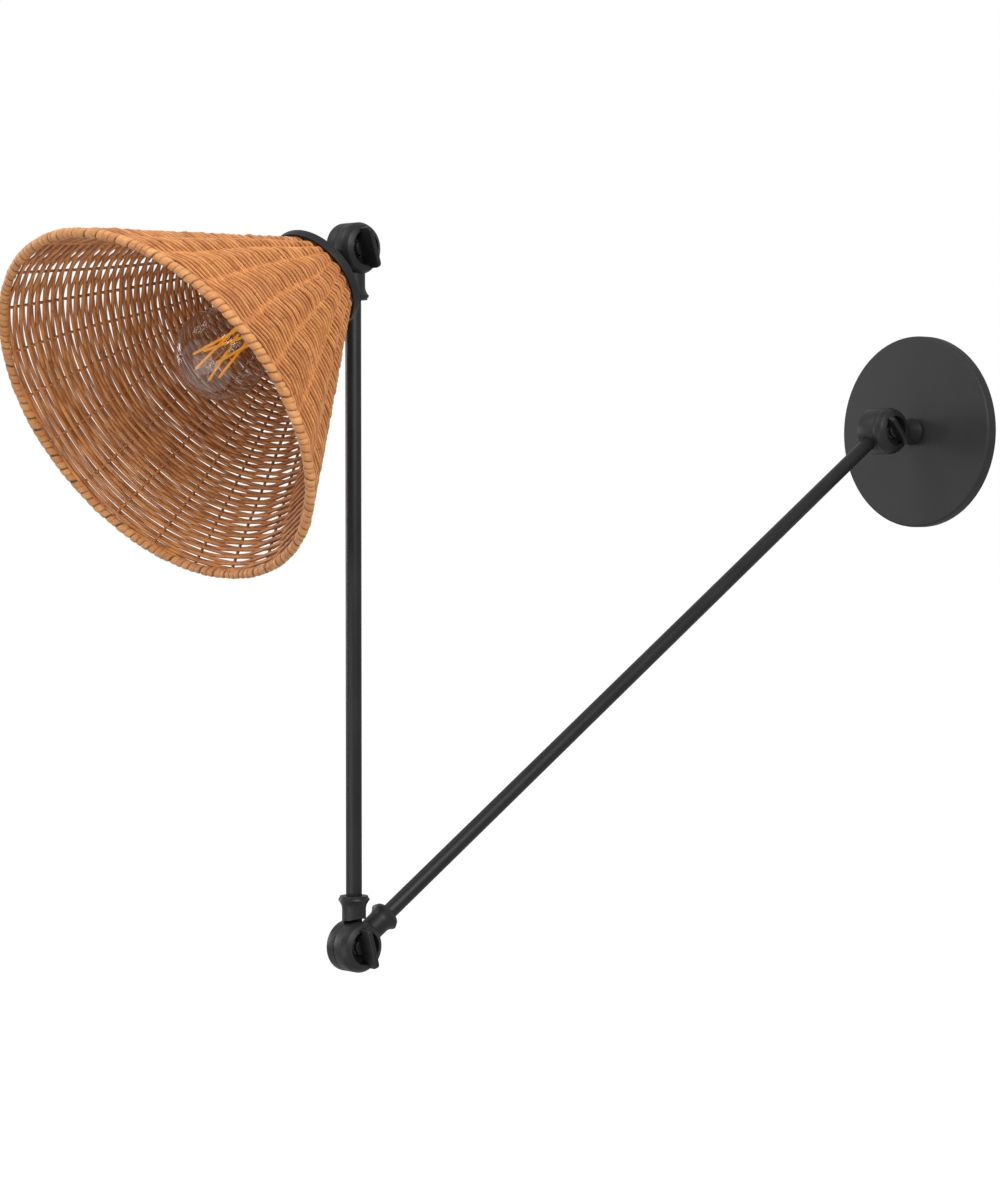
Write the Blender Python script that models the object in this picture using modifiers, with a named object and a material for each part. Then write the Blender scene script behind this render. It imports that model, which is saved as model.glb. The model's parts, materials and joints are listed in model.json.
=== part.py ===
"""Swing arm wall sconce: two tubular arms on keyed knuckle joints, with a wicker cone shade.

Metres, +Z up. The origin is the centre of the wall plate's back face, the wall is the plane y = 0
and the room is at -Y. Both arms lie in the plane x = 0, and every joint turns about X.
"""

import math

import bmesh
import bpy
from mathutils import Matrix, Vector

# ---- driving dimensions -------------------------------------------------------------------------

GAP = 0.0003                    # air left between pieces that touch
TINY_EDGE = 0.0002              # small chamfer on a lip or a rim
BEYOND = 0.002                  # how far a cutter runs past the face it opens
RUNNING = 0.0003                # radial clearance of a screw or tube in its bore

PLATE_RADIUS = 0.06985
PLATE_DEPTH = 0.0085
PLATE_SHEET = 0.0012
PLATE_EDGE = 0.002              # rounding of the front edge

STRAP_LENGTH = 0.104
STRAP_WIDTH = 0.022
STRAP_SHEET = 0.0015
STRAP_CORNER = 0.004
STRAP_SLOT_SPACING = 0.0826     # between the two slots for the wall box's screws
STRAP_SLOT_LENGTH = 0.011
STRAP_SLOT_RADIUS = 0.0023
GROUND_SCREW_OFFSET = 0.023
GROUND_HEAD_RADIUS = 0.0035
GROUND_HEAD_HEIGHT = 0.0022
GROUND_SHANK_RADIUS = 0.0018

NIPPLE_RADIUS = 0.00485         # threaded lamp nipple, one size throughout
NIPPLE_BORE = 0.0033
NUT_ACROSS = 0.0145
NUT_THICKNESS = 0.0025

WALL_JOINT_OUT = 0.045          # from the wall to the wall knuckle's axis
LOWER_ARM_LENGTH = 0.5919       # axis to axis
LOWER_ARM_DROP = math.radians(33.77)
UPPER_ARM_LENGTH = 0.435        # axis to axis, upright at rest
SHADE_DROP = math.radians(32.05)    # shade axis below the horizontal
HEAD_TURN = math.radians(5.3)   # the head's knuckle is screwed up a little past square

TUBE_RADIUS = 0.005
TUBE_BORE = 0.0038
TUBE_INSERT = 0.012             # how deep a tube goes into a collar
BARREL_SEAT = 0.0075            # where the lower tube stops, from the wall joint's axis

WALL_DRUM_RADIUS = 0.0167
ARM_DRUM_RADIUS = 0.016
DRUM_BACK = -0.008              # outer face of every far half, along the joint's axis
BARREL_COVER = 0.0014           # metal between the lower tube and the barrel's mating face
WALL_NEAR_DEPTH = 0.0036        # how far the wall knuckle's near half runs past the mating face
ARM_SEAM = -0.0008              # mating face of the far half, along the joint's axis
ARM_DRUM_FRONT = 0.0066         # where the near half's cylinder ends
SHOULDER_RISE = 0.0033          # first bevel of a near half
SHOULDER_INSET = 0.0018
DRUM_EDGE = 0.0007              # chamfer of a far half's outer face
CROWN_RISE = 0.0019             # second bevel, up to the key's recess
RECESS_RADIUS = 0.0107
RECESS_DEPTH = 0.0076
RECESS_WEB = 0.0012             # least metal between a recess and the wire channel under it
SCREW_HOLE_END = 0.0008         # air past the end of a key's screw
CHANNEL_INNER = 0.0046          # wire channel turned into each mating face
CHANNEL_OUTER = 0.0087
CHANNEL_DEPTH = 0.0022
SHIM_INNER = 0.0090
SHIM_OUTER = 0.0112
SHIM_THICKNESS = 0.0006

NECK_RADIUS = 0.0075
NECK_FLARE = 0.0024             # how far the collar stands out from the neck
NECK_ROOT = 0.0116              # where a neck starts inside its drum
NECK_STRAIGHT = 0.0215
ARM_COLLAR_END = 0.0318         # from a joint's axis to the end of the collar
COLLAR_LIP = 0.0011
COLLAR_CROWN = 0.0026           # from a collar's widest place to its end
COLLAR_NECKING = 0.001          # how far the lip stands back from the widest place
COLLAR_STEP = (0.0006, 0.0004)  # the slope under the lip, across and along
SADDLE_RISE = 0.0038            # the wall neck's root bridges to its half drum, this far past the seam
SADDLE_END = 0.0195
NECK_CLEARANCE = 0.0021         # between a neck and the drum half that turns under it
SADDLE_CLEARANCE = 0.0008
NECK_BLEND = 0.002              # length over which a saddle narrows to its neck
WIRE_BORE = 0.003
WIRE_BORE_START = 0.0062        # from a joint's axis
WALL_WIRE_BORE = 0.0013         # the wall knuckle's wires go round its barrel, through a narrower way
WALL_WIRE_INSET = 0.0020        # from the mating face to that way's middle
WALL_WIRE_TURN = 0.0186         # from the joint's axis, where it turns towards the neck's middle
WALL_WIRE_MEETS = 0.022

KEY_SCREW_RADIUS = 0.0029
KEY_SCREW_LENGTH = 0.0036       # how far the screw reaches into the far half
KEY_HUB_RADIUS = 0.0049
KEY_HUB_LENGTH = 0.0028
KEY_HUB_EDGE = 0.0006
KEY_ROOT_INSET = 0.0013         # the grip's root clears the recess by this much on each side
KEY_ROOT_RISE = 0.0012          # the grip's root starts inside the hub, this far above its foot
KEY_TOP = 0.020                 # outer edge of the grip, along the joint's axis
KEY_WIDTH = 0.026
KEY_THICKNESS = 0.0032
KEY_CORNER = 0.003
KEY_LIFT = 0.0006               # air between the wide grip and the drum's crown
KEY_UNDERCUT = 0.0004           # the grip's underside falls away with the bevel of the drum
WALL_KEY_TILT = math.radians(44)
ELBOW_KEY_TILT = math.radians(15)
SHADE_KEY_TILT = math.radians(19.5)
WASHER_RADIUS = 0.0052
WASHER_THICKNESS = 0.0008

CAP_BACK = 0.0369               # along the shade's axis, from the shade knuckle
CAP_RADIUS = 0.0336
CAP_SHEET = 0.0014
CAP_DEPTH = 0.0064
CAP_EDGE = 0.0008
FITTER_SHEET = 0.0012

SHADE_LENGTH = 0.1464           # along the shade's axis, from the cap's lip to the weave's wide end
SHADE_MOUTH_RADIUS = 0.1181     # outside of the weave at the hoop
WEAVE_THICKNESS = 0.0055
HOOP_MINOR = 0.0032
HOOP_OVERHANG = 0.0007          # how far the hoop stands out past the weave

HOLDER_RADIUS = 0.019
HOLDER_WALL = 0.0022
HOLDER_LENGTH = 0.038
HOLDER_EDGES = (0.001, 0.003)   # chamfers of the cup's mouth and foot
HOLDER_BLOCK = 0.0028
BLOCK_STANDOFF = 0.0018         # the nipple's end stands under the block
BLOCK_HOLE = 0.0012
SHELL_RADIUS = 0.0141
SHELL_SHEET = 0.0005
SHELL_LENGTH = 0.030
CONTACT_SIZE = (0.012, 0.005, 0.0006)

BULB_RADIUS = 0.028
BULB_NECK_TO_CENTRE = 0.0599    # from the lower edge of the glass to the centre of its globe
BULB_GLASS = 0.0008
BULB_NECK_RADIUS = 0.0119
BULB_BASE_RADIUS = 0.0131
BULB_BASE_SHEET = 0.0008
BULB_BASE_LENGTH = 0.0225
BULB_TIP_RADIUS = 0.0048
BULB_TIP_HEIGHT = 0.001
BULB_INSULATOR = 0.0028
BULB_INSULATOR_INSET = 0.0012
BULB_SEAT = 0.008               # how far the glass reaches down into the metal base
BULB_NECK_LENGTH = 0.010
BULB_GLOBE_END = -38            # angle at which the globe runs into its shoulder, in degrees
FILAMENT_COUNT = 6
FILAMENT_RADIUS = 0.0008
FILAMENT_TOP = (0.0070, -0.024)     # circle radius, and place along the axis from the globe's centre
FILAMENT_FOOT = (0.0105, 0.014)
FILAMENT_TWIST = math.radians(70)
MOUNT_TOP_RADIUS = 0.0022
MOUNT_TOP_GAP = 0.004           # from the filaments' upper circle
MOUNT_STEM = (0.004, 0.006, 0.014)  # radius at the flare, and the flare's and the stem's heights

ROUND = 32                      # sides of a drum or a lampholder
FINE = 48                       # sides of the plate and the shade
FLARE_STEPS = 4                 # bands of a collar's flare
BULB_SIDES = 24
SMALL = 16                      # sides of a screw, nipple or tube

# ---- scene and materials --------------------------------------------------------------------------

BLACK_METAL = ("black_metal", (0.045, 0.045, 0.048), 0.42, 1.0)
ZINC = ("zinc_plate", (0.62, 0.63, 0.65), 0.35, 1.0)
BRASS = ("brass", (0.80, 0.62, 0.30), 0.30, 1.0)
GREEN = ("green_steel", (0.05, 0.30, 0.12), 0.45, 0.6)
FIBRE = ("black_fibre", (0.05, 0.05, 0.05), 0.85, 0.0)
PORCELAIN = ("porcelain", (0.86, 0.85, 0.82), 0.25, 0.0)
RATTAN = ("rattan", (0.60, 0.32, 0.13), 0.60, 0.0)
RATTAN_PALE = ("rattan_rim", (0.66, 0.38, 0.18), 0.55, 0.0)
GLASS = ("clear_glass", (0.90, 0.88, 0.85), 0.05, 0.0)
BLACK_GLASS = ("black_glass", (0.03, 0.03, 0.03), 0.20, 0.0)
AMBER = ("amber_phosphor", (0.95, 0.52, 0.05), 0.50, 0.0)


def clear_scene():
    for obj in list(bpy.data.objects):
        bpy.data.objects.remove(obj, do_unlink=True)


def new_collection(name):
    collection = bpy.data.collections.new(name)
    bpy.context.scene.collection.children.link(collection)
    return collection


def material(name, finish):
    """Each sub-part has its own material, made from one of the finishes above."""
    _, colour, roughness, metallic = finish
    made = bpy.data.materials.new(name)
    made.use_nodes = True
    shader = made.node_tree.nodes["Principled BSDF"]
    shader.inputs["Base Color"].default_value = (*colour, 1.0)
    shader.inputs["Roughness"].default_value = roughness
    shader.inputs["Metallic"].default_value = metallic
    made.diffuse_color = (*colour, 1.0)
    return made


def empty(name, parent=None, location=(0, 0, 0), rotation=(0, 0, 0)):
    made = bpy.data.objects.new(name, None)
    made.empty_display_size = 0.01
    made.parent = parent
    made.location = location
    made.rotation_euler = rotation
    PARTS.objects.link(made)
    return made


def place(obj, name, parent, rotation=(0, 0, 0), location=(0, 0, 0), finish=None):
    """Names an object, hangs it on its empty, and makes it a part, or a helper if it has no finish."""
    obj.name = name
    obj.data.name = name
    obj.parent = parent
    obj.rotation_euler = rotation
    obj.location = location
    if finish is None:
        CUTTERS.objects.link(obj)
        obj.hide_render = True
        obj.display_type = "WIRE"
        return obj
    PARTS.objects.link(obj)
    obj.data.materials.clear()
    obj.data.materials.append(material(name, finish))
    return obj


# ---- modelling helpers ----------------------------------------------------------------------------

def turned(profile, sides, closed=False):
    """A profile of (radius, height) points turned about Z. Its outer side runs from top to bottom."""
    mesh = bpy.data.meshes.new("turned")
    points = [(radius, 0.0, height) for radius, height in profile]
    edges = [(i, i + 1) for i in range(len(points) - 1)]
    if closed:
        edges.append((len(points) - 1, 0))
    mesh.from_pydata(points, edges, [])
    obj = bpy.data.objects.new("turned", mesh)
    screw = obj.modifiers.new("turn", "SCREW")
    screw.axis = "Z"
    screw.angle = math.tau
    screw.steps = sides
    screw.render_steps = sides
    screw.use_merge_vertices = True
    screw.merge_threshold = 0.00001
    screw.use_smooth_shade = True
    return obj


def cylinder(radius, bottom, top, sides=SMALL):
    return turned([(0, top), (radius, top), (radius, bottom), (0, bottom)], sides)


def ring(inner, outer, bottom, top, sides=SMALL):
    profile = [(inner, top), (outer, top), (outer, bottom), (inner, bottom)]
    return turned(profile, sides, closed=True)


def flat(loops, thickness):
    """A flat piece from closed outlines in XY, with its holes as further outlines, centred on z = 0."""
    curve = bpy.data.curves.new("outline", "CURVE")
    curve.dimensions = "2D"
    curve.fill_mode = "BOTH"
    curve.extrude = thickness / 2
    for loop in loops:
        spline = curve.splines.new("POLY")
        spline.points.add(len(loop) - 1)
        spline.use_cyclic_u = True
        for point, (x, y) in zip(spline.points, loop):
            point.co = (x, y, 0, 1)
    return as_mesh(bpy.data.objects.new("outline", curve))


def as_mesh(curve_object):
    """The curve's evaluated mesh with its caps welded on, as a new object in the curve's place."""
    bpy.context.scene.collection.objects.link(curve_object)
    graph = bpy.context.evaluated_depsgraph_get()
    mesh = bpy.data.meshes.new_from_object(curve_object.evaluated_get(graph))
    welded = bmesh.new()
    welded.from_mesh(mesh)
    bmesh.ops.remove_doubles(welded, verts=welded.verts, dist=0.000001)
    bmesh.ops.recalc_face_normals(welded, faces=welded.faces)
    welded.to_mesh(mesh)
    welded.free()
    obj = bpy.data.objects.new("flat", mesh)
    obj.matrix_world = curve_object.matrix_world.copy()
    bpy.data.objects.remove(curve_object, do_unlink=True)
    return obj


def arc(centre, radius, start, end, steps):
    """Points on an arc in degrees, both ends included."""
    turn = [math.radians(start + (end - start) * i / steps) for i in range(steps + 1)]
    return [(centre[0] + radius * math.cos(a), centre[1] + radius * math.sin(a)) for a in turn]


def circle(centre, radius, sides=SMALL):
    return arc(centre, radius, 0, 360, sides)[:-1]


def slot(centre, length, radius):
    reach = length / 2 - radius
    right = arc((centre[0] + reach, centre[1]), radius, -90, 90, 8)
    left = arc((centre[0] - reach, centre[1]), radius, 90, 270, 8)
    return right + left


def boolean(obj, other, operation):
    modifier = obj.modifiers.new(f"{operation.lower()} {other.name}", "BOOLEAN")
    modifier.operation = operation
    modifier.solver = "EXACT"
    modifier.object = other


def cut(obj, cutter):
    boolean(obj, cutter, "DIFFERENCE")


def join(obj, other):
    boolean(obj, other, "UNION")


def tidy_seams(obj):
    """Welds the pairs of points that a Boolean leaves where its cuts cross."""
    weld = obj.modifiers.new("weld", "WELD")
    weld.merge_threshold = 0.000003


ALONG_X = (0, math.pi / 2, 0)       # lays a turned piece's axis along the joint's axis


# ---- wall plate and its fixing --------------------------------------------------------------------

def wall_plate():
    """A spun dish, open at the back. Turned pieces of the base point along -Y, into the room."""
    inside = PLATE_DEPTH - PLATE_SHEET
    hole = NIPPLE_RADIUS + GAP
    rim = PLATE_RADIUS - PLATE_EDGE
    edge = arc((rim, PLATE_DEPTH - PLATE_EDGE), PLATE_EDGE, 90, 0, 3)
    inner = PLATE_RADIUS - PLATE_SHEET
    profile = [(hole, PLATE_DEPTH)] + edge + [(PLATE_RADIUS, 0), (inner, 0), (inner, inside), (hole, inside)]
    plate = turned(profile, FINE, closed=True)
    place(plate, "wall_plate", FACING_ROOM, finish=BLACK_METAL)


def mounting_strap():
    half_length = STRAP_LENGTH / 2 - STRAP_CORNER
    half_width = STRAP_WIDTH / 2 - STRAP_CORNER
    outline = []
    for turn, (x, y) in enumerate([(1, -1), (1, 1), (-1, 1), (-1, -1)]):
        start = -90 + 90 * turn
        outline += arc((x * half_length, y * half_width), STRAP_CORNER, start, start + 90, 3)
    loops = [outline, circle((0, 0), NIPPLE_RADIUS + GAP)]
    for side in (-1, 1):
        loops.append(slot((side * STRAP_SLOT_SPACING / 2, 0), STRAP_SLOT_LENGTH, STRAP_SLOT_RADIUS))
    loops.append(circle((GROUND_SCREW_OFFSET, 0), GROUND_SHANK_RADIUS + RUNNING, 12))
    middle = STRAP_BACK + STRAP_SHEET / 2
    place(flat(loops, STRAP_SHEET), "mounting_strap", FACING_ROOM, location=(0, 0, middle), finish=ZINC)


def hex_nut(name, parent, bottom, finish=ZINC):
    corner = NUT_ACROSS / 2 / math.cos(math.pi / 6)
    nut = flat([circle((0, 0), corner, 6), circle((0, 0), NIPPLE_RADIUS + GAP)], NUT_THICKNESS)
    place(nut, name, parent, location=(0, 0, bottom + NUT_THICKNESS / 2), finish=finish)


def ground_screw():
    head = GROUND_HEAD_RADIUS
    seat = STRAP_BACK + STRAP_SHEET + GAP
    top = seat + GROUND_HEAD_HEIGHT
    profile = [(0, top), (head * 0.7, top - TINY_EDGE), (head, seat + GROUND_HEAD_HEIGHT / 2), (head, seat)]
    profile += [(GROUND_SHANK_RADIUS, seat), (GROUND_SHANK_RADIUS, STRAP_BACK), (0, STRAP_BACK)]
    screw = turned(profile, SMALL)
    place(screw, "ground_screw", FACING_ROOM, location=(GROUND_SCREW_OFFSET, 0, 0), finish=GREEN)


def wall_fixing():
    mounting_strap()
    ground_screw()
    hex_nut("strap_nut", FACING_ROOM, STRAP_BACK + STRAP_SHEET + GAP)
    nipple = ring(NIPPLE_BORE, NIPPLE_RADIUS, STRAP_BACK, PLATE_DEPTH + TUBE_INSERT - GAP)
    place(nipple, "wall_nipple", FACING_ROOM, finish=ZINC)


# ---- knuckle joints -------------------------------------------------------------------------------

def near_half_sizes(joint):
    """Heights of a near half along the joint's axis: its recess floor and its crown."""
    crown = joint["front"] + SHOULDER_RISE + CROWN_RISE
    channel_top = joint["seam"] + GAP + CHANNEL_DEPTH
    return max(crown - RECESS_DEPTH, channel_top + RECESS_WEB), crown


def far_half(joint, name):
    """The plain half drum: a blind hole for the key's screw, a pocket for the shim, a wire channel."""
    radius = joint["radius"]
    seam = joint["seam"]
    hole = KEY_SCREW_RADIUS + RUNNING
    bottom = seam - KEY_SCREW_LENGTH - SCREW_HOLE_END
    pocket = seam - SHIM_THICKNESS - GAP
    profile = [(0, bottom), (hole, bottom), (hole, seam), (CHANNEL_INNER, seam)]
    profile += [(CHANNEL_INNER, seam - CHANNEL_DEPTH), (CHANNEL_OUTER, seam - CHANNEL_DEPTH)]
    profile += [(CHANNEL_OUTER, pocket), (SHIM_OUTER + GAP, pocket), (SHIM_OUTER + GAP, seam)]
    profile += [(radius, seam), (radius, DRUM_BACK + DRUM_EDGE)]
    profile += [(radius - DRUM_EDGE, DRUM_BACK), (0, DRUM_BACK)]
    return place(turned(profile, ROUND), name, joint["empty"], ALONG_X, finish=BLACK_METAL)


def near_half(joint, name):
    """The bevelled half drum with the key's recess in its outer face."""
    radius = joint["radius"]
    face = joint["seam"] + GAP
    front = joint["front"]
    floor, crown = near_half_sizes(joint)
    hole = KEY_SCREW_RADIUS + RUNNING
    profile = [(RECESS_RADIUS, crown), (radius - SHOULDER_INSET, front + SHOULDER_RISE), (radius, front)]
    profile += [(radius, face), (CHANNEL_OUTER, face), (CHANNEL_OUTER, face + CHANNEL_DEPTH)]
    profile += [(CHANNEL_INNER, face + CHANNEL_DEPTH), (CHANNEL_INNER, face), (hole, face)]
    profile += [(hole, floor), (RECESS_RADIUS, floor)]
    return place(turned(profile, ROUND, closed=True), name, joint["empty"], ALONG_X, finish=BLACK_METAL)


def neck_profile(root_radius, root_end, end):
    """A neck that leaves its drum straight and flares into a collar with a small lip, end first."""
    widest = end - COLLAR_CROWN
    start = max(NECK_STRAIGHT, root_end + NECK_BLEND)
    flare = []
    for step in range(FLARE_STEPS + 1):
        along = step / FLARE_STEPS
        flare.append((NECK_RADIUS + NECK_FLARE * along ** 2, start + (widest - start) * along))
    lip = NECK_RADIUS + NECK_FLARE - COLLAR_NECKING
    profile = [(0, end), (lip - TINY_EDGE, end), (lip, end - TINY_EDGE), (lip, end - COLLAR_LIP)]
    profile += [(lip + COLLAR_STEP[0], end - COLLAR_LIP - COLLAR_STEP[1])]
    profile += flare[::-1]
    if root_radius > NECK_RADIUS:
        profile += [(root_radius, root_end)]
    profile += [(root_radius, NECK_ROOT), (0, NECK_ROOT)]
    return profile


def add_neck(half, joint, tilt, end, side, root=(NECK_RADIUS, NECK_STRAIGHT), clearance=NECK_CLEARANCE):
    """Joins a neck to a half drum. side is +1 for the near half: the neck is cut clear of the other half."""
    neck = turned(neck_profile(*root, end), ROUND)
    place(neck, half.name + ".neck", joint["empty"], (tilt, 0, 0))
    face = joint["seam"] + (GAP + TINY_EDGE if side > 0 else -TINY_EDGE)
    reach = 2 * NECK_RADIUS + BEYOND
    bottom, top = (face - reach, face) if side > 0 else (face, face + reach)
    sweep = cylinder(joint["radius"] + clearance, bottom, top, ROUND)
    cut(neck, place(sweep, half.name + ".sweep", joint["empty"], ALONG_X))
    join(half, neck)


def bore(half, joint, name, turn, radius, start, end, location=(0, 0, 0), sides=SMALL):
    """Drills a half drum from start to end along a direction that is given as a turn of local Z."""
    drill = cylinder(radius, start, end, sides)
    cut(half, place(drill, f"{half.name}.{name}", joint["empty"], turn, location))


def bore_neck(half, joint, tilt, end, radius, wires_from=WIRE_BORE_START):
    """The socket in a collar's end, and the wire bore that leads on into the drum."""
    turn = (tilt, 0, 0)
    floor = end - TUBE_INSERT
    bore(half, joint, "socket", turn, radius + RUNNING, floor, end + BEYOND)
    if wires_from < floor:
        bore(half, joint, "wires", turn, WIRE_BORE, wires_from, floor + BEYOND / 2)


def wall_wire_way(half, joint, turn):
    """Leads the wires round the barrel: along the near half, then over to the middle of the neck."""
    middle = (CHANNEL_INNER + CHANNEL_OUTER) / 2
    beside = (WALL_WIRE_AT, 0, 0)
    end = WALL_WIRE_TURN + WALL_WIRE_BORE / 2
    bore(half, joint, "straight_way", turn, WALL_WIRE_BORE, middle, end, beside, 8)
    corner = Vector((WALL_WIRE_AT, WALL_WIRE_TURN, 0))
    over = Vector((0, WALL_WIRE_MEETS, 0)) - corner
    slant = over.to_track_quat("Z", "Y").to_euler()
    bore(half, joint, "slanted_way", slant, WALL_WIRE_BORE, 0, over.length, corner, 8)


def shim(joint, name):
    top = joint["seam"] - GAP / 2
    disc = ring(SHIM_INNER, SHIM_OUTER, top - SHIM_THICKNESS + GAP / 2, top, ROUND)
    place(disc, name, joint["empty"], ALONG_X, finish=FIBRE)


def key_outline(root_bottom, wide_bottom):
    """The grip: a narrow root inside the recess and a wide part outside, in (across, along the axis)."""
    half = KEY_WIDTH / 2
    root = RECESS_RADIUS - KEY_ROOT_INSET
    corner = KEY_CORNER
    top = KEY_TOP - corner
    outline = [(root, root_bottom), (root, wide_bottom), (half, wide_bottom - KEY_UNDERCUT)]
    outline += arc((half - corner, top), corner, 0, 90, 6)
    return outline + [(-x, y) for x, y in outline[::-1]]


def key(joint, name, tilt):
    """Screw, hub and grip are one piece. Its own Z is the joint's axis, on which it turns."""
    floor, crown = near_half_sizes(joint)
    washer_bottom = floor + GAP
    hub_bottom = washer_bottom + WASHER_THICKNESS + GAP
    hub_top = hub_bottom + KEY_HUB_LENGTH
    screw_end = joint["seam"] - KEY_SCREW_LENGTH
    profile = [(0, hub_top), (KEY_HUB_RADIUS - KEY_HUB_EDGE, hub_top)]
    profile += [(KEY_HUB_RADIUS, hub_top - KEY_HUB_EDGE)]
    profile += [(KEY_HUB_RADIUS, hub_bottom), (KEY_SCREW_RADIUS, hub_bottom)]
    profile += [(KEY_SCREW_RADIUS, screw_end), (0, screw_end)]
    turning = empty(name + "_axis", joint["empty"], rotation=(tilt, 0, 0))
    made = place(turned(profile, SMALL), name, turning, ALONG_X, finish=BLACK_METAL)
    grip = flat([key_outline(hub_bottom + KEY_ROOT_RISE, crown + KEY_LIFT)], KEY_THICKNESS)
    upright = Matrix(((0, 1, 0), (0, 0, 1), (1, 0, 0))).to_euler()
    join(made, place(grip, name + ".grip", turning, upright))
    tidy_seams(made)
    washer = ring(KEY_SCREW_RADIUS + RUNNING, WASHER_RADIUS, washer_bottom, washer_bottom + WASHER_THICKNESS)
    place(washer, name + "_washer", joint["empty"], ALONG_X, finish=ZINC)


def tube(name, joint, tilt, start, end):
    made = ring(TUBE_BORE, TUBE_RADIUS, start, end)
    place(made, name, joint["empty"], (tilt, 0, 0), finish=BLACK_METAL)


def wall_knuckle(joint):
    """The near half stands on the wall plate, and the far half is a barrel that holds the lower arm."""
    out = math.radians(-90)
    end = WALL_JOINT_OUT - PLATE_DEPTH - GAP
    near = near_half(joint, "wall_knuckle")
    add_neck(near, joint, out, end, 1, (SADDLE_RADIUS, SADDLE_END), SADDLE_CLEARANCE)
    bore_neck(near, joint, out, end, NIPPLE_RADIUS, WALL_WIRE_MEETS - WALL_WIRE_BORE)
    wall_wire_way(near, joint, (out, 0, 0))
    tidy_seams(near)
    barrel = far_half(joint, "lower_arm_barrel")
    along = (LOWER_ARM_TILT, 0, 0)
    bore(barrel, joint, "socket", along, TUBE_RADIUS + RUNNING, BARREL_SEAT, joint["radius"] + BEYOND)
    bore(barrel, joint, "wires", along, WIRE_BORE, 0, BARREL_SEAT + BEYOND / 2)
    tidy_seams(barrel)
    tube_end = LOWER_ARM_LENGTH - (ARM_COLLAR_END - TUBE_INSERT) - GAP
    tube("lower_tube", joint, LOWER_ARM_TILT, BARREL_SEAT + GAP, tube_end)


def elbow_knuckle(joint):
    """The near half ends the lower arm and the far half starts the upper one."""
    back = LOWER_ARM_TILT - math.pi
    near = near_half(joint, "lower_arm_elbow")
    add_neck(near, joint, back, ARM_COLLAR_END, 1)
    bore_neck(near, joint, back, ARM_COLLAR_END, TUBE_RADIUS)
    tidy_seams(near)
    far = far_half(joint, "upper_arm_elbow")
    add_neck(far, joint, 0, ARM_COLLAR_END, -1)
    bore_neck(far, joint, 0, ARM_COLLAR_END, TUBE_RADIUS)
    tidy_seams(far)
    inset = ARM_COLLAR_END - TUBE_INSERT + GAP
    tube("upper_tube", joint, 0, inset, UPPER_ARM_LENGTH - inset)


def shade_knuckle(joint):
    """The near half ends the upper arm and the far half carries the shade."""
    near = near_half(joint, "upper_arm_head")
    add_neck(near, joint, math.pi, ARM_COLLAR_END, 1)
    bore_neck(near, joint, math.pi, ARM_COLLAR_END, TUBE_RADIUS)
    tidy_seams(near)
    far = far_half(joint, "shade_knuckle")
    end = CAP_BACK - GAP
    add_neck(far, joint, SHADE_TILT, end, -1)
    bore_neck(far, joint, SHADE_TILT, end, NIPPLE_RADIUS)
    tidy_seams(far)


# ---- shade and lampholder, turned about the shade's own axis ------------------------------------

def shade_cap():
    """A shallow pressed cup that covers the shade's narrow end."""
    hole = NIPPLE_RADIUS + GAP
    lip = CAP_BACK + CAP_DEPTH
    inner = CAP_RADIUS - CAP_SHEET
    edge = arc((CAP_RADIUS - CAP_EDGE, CAP_BACK + CAP_EDGE), CAP_EDGE, 0, -90, 2)
    profile = [(inner, lip), (CAP_RADIUS - TINY_EDGE, lip), (CAP_RADIUS, lip - TINY_EDGE)] + edge
    profile += [(hole, CAP_BACK), (hole, CAP_BACK + CAP_SHEET), (inner, CAP_BACK + CAP_SHEET)]
    place(turned(profile, FINE, closed=True), "shade_cap", SHADE_AXIS, finish=BLACK_METAL)


def fitter_plate():
    """The sheet disc that the weave is bound to. It is clamped between the cap and the nut."""
    bottom = CAP_BACK + CAP_SHEET + GAP
    plate = ring(NIPPLE_RADIUS + GAP, SHADE_TOP_RADIUS - GAP, bottom, bottom + FITTER_SHEET, FINE)
    place(plate, "shade_fitter", SHADE_AXIS, finish=ZINC)
    return bottom + FITTER_SHEET + GAP


def wicker_cone(top):
    """The weave's envelope: a cone with a short straight end inside the cap, open at both ends."""
    lip = CAP_BACK + CAP_DEPTH
    straight = SHADE_TOP_RADIUS - GAP
    slope = math.atan2(SHADE_MOUTH_RADIUS - SHADE_TOP_RADIUS, SHADE_MOUTH - lip)
    inset = WEAVE_THICKNESS / math.cos(slope)
    profile = [(SHADE_MOUTH_RADIUS - inset, SHADE_MOUTH), (SHADE_MOUTH_RADIUS, SHADE_MOUTH)]
    profile += [(straight, lip), (straight, top), (straight - inset, top), (straight - inset, lip)]
    place(turned(profile, FINE, closed=True), "wicker_shade", SHADE_AXIS, finish=RATTAN)


def rim_hoop():
    major = SHADE_MOUTH_RADIUS + HOOP_OVERHANG - HOOP_MINOR
    height = SHADE_MOUTH + GAP + HOOP_MINOR
    section = arc((major, height), HOOP_MINOR, 90, -270, 8)[:-1]
    place(turned(section, FINE, closed=True), "rim_hoop", SHADE_AXIS, finish=RATTAN_PALE)


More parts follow.
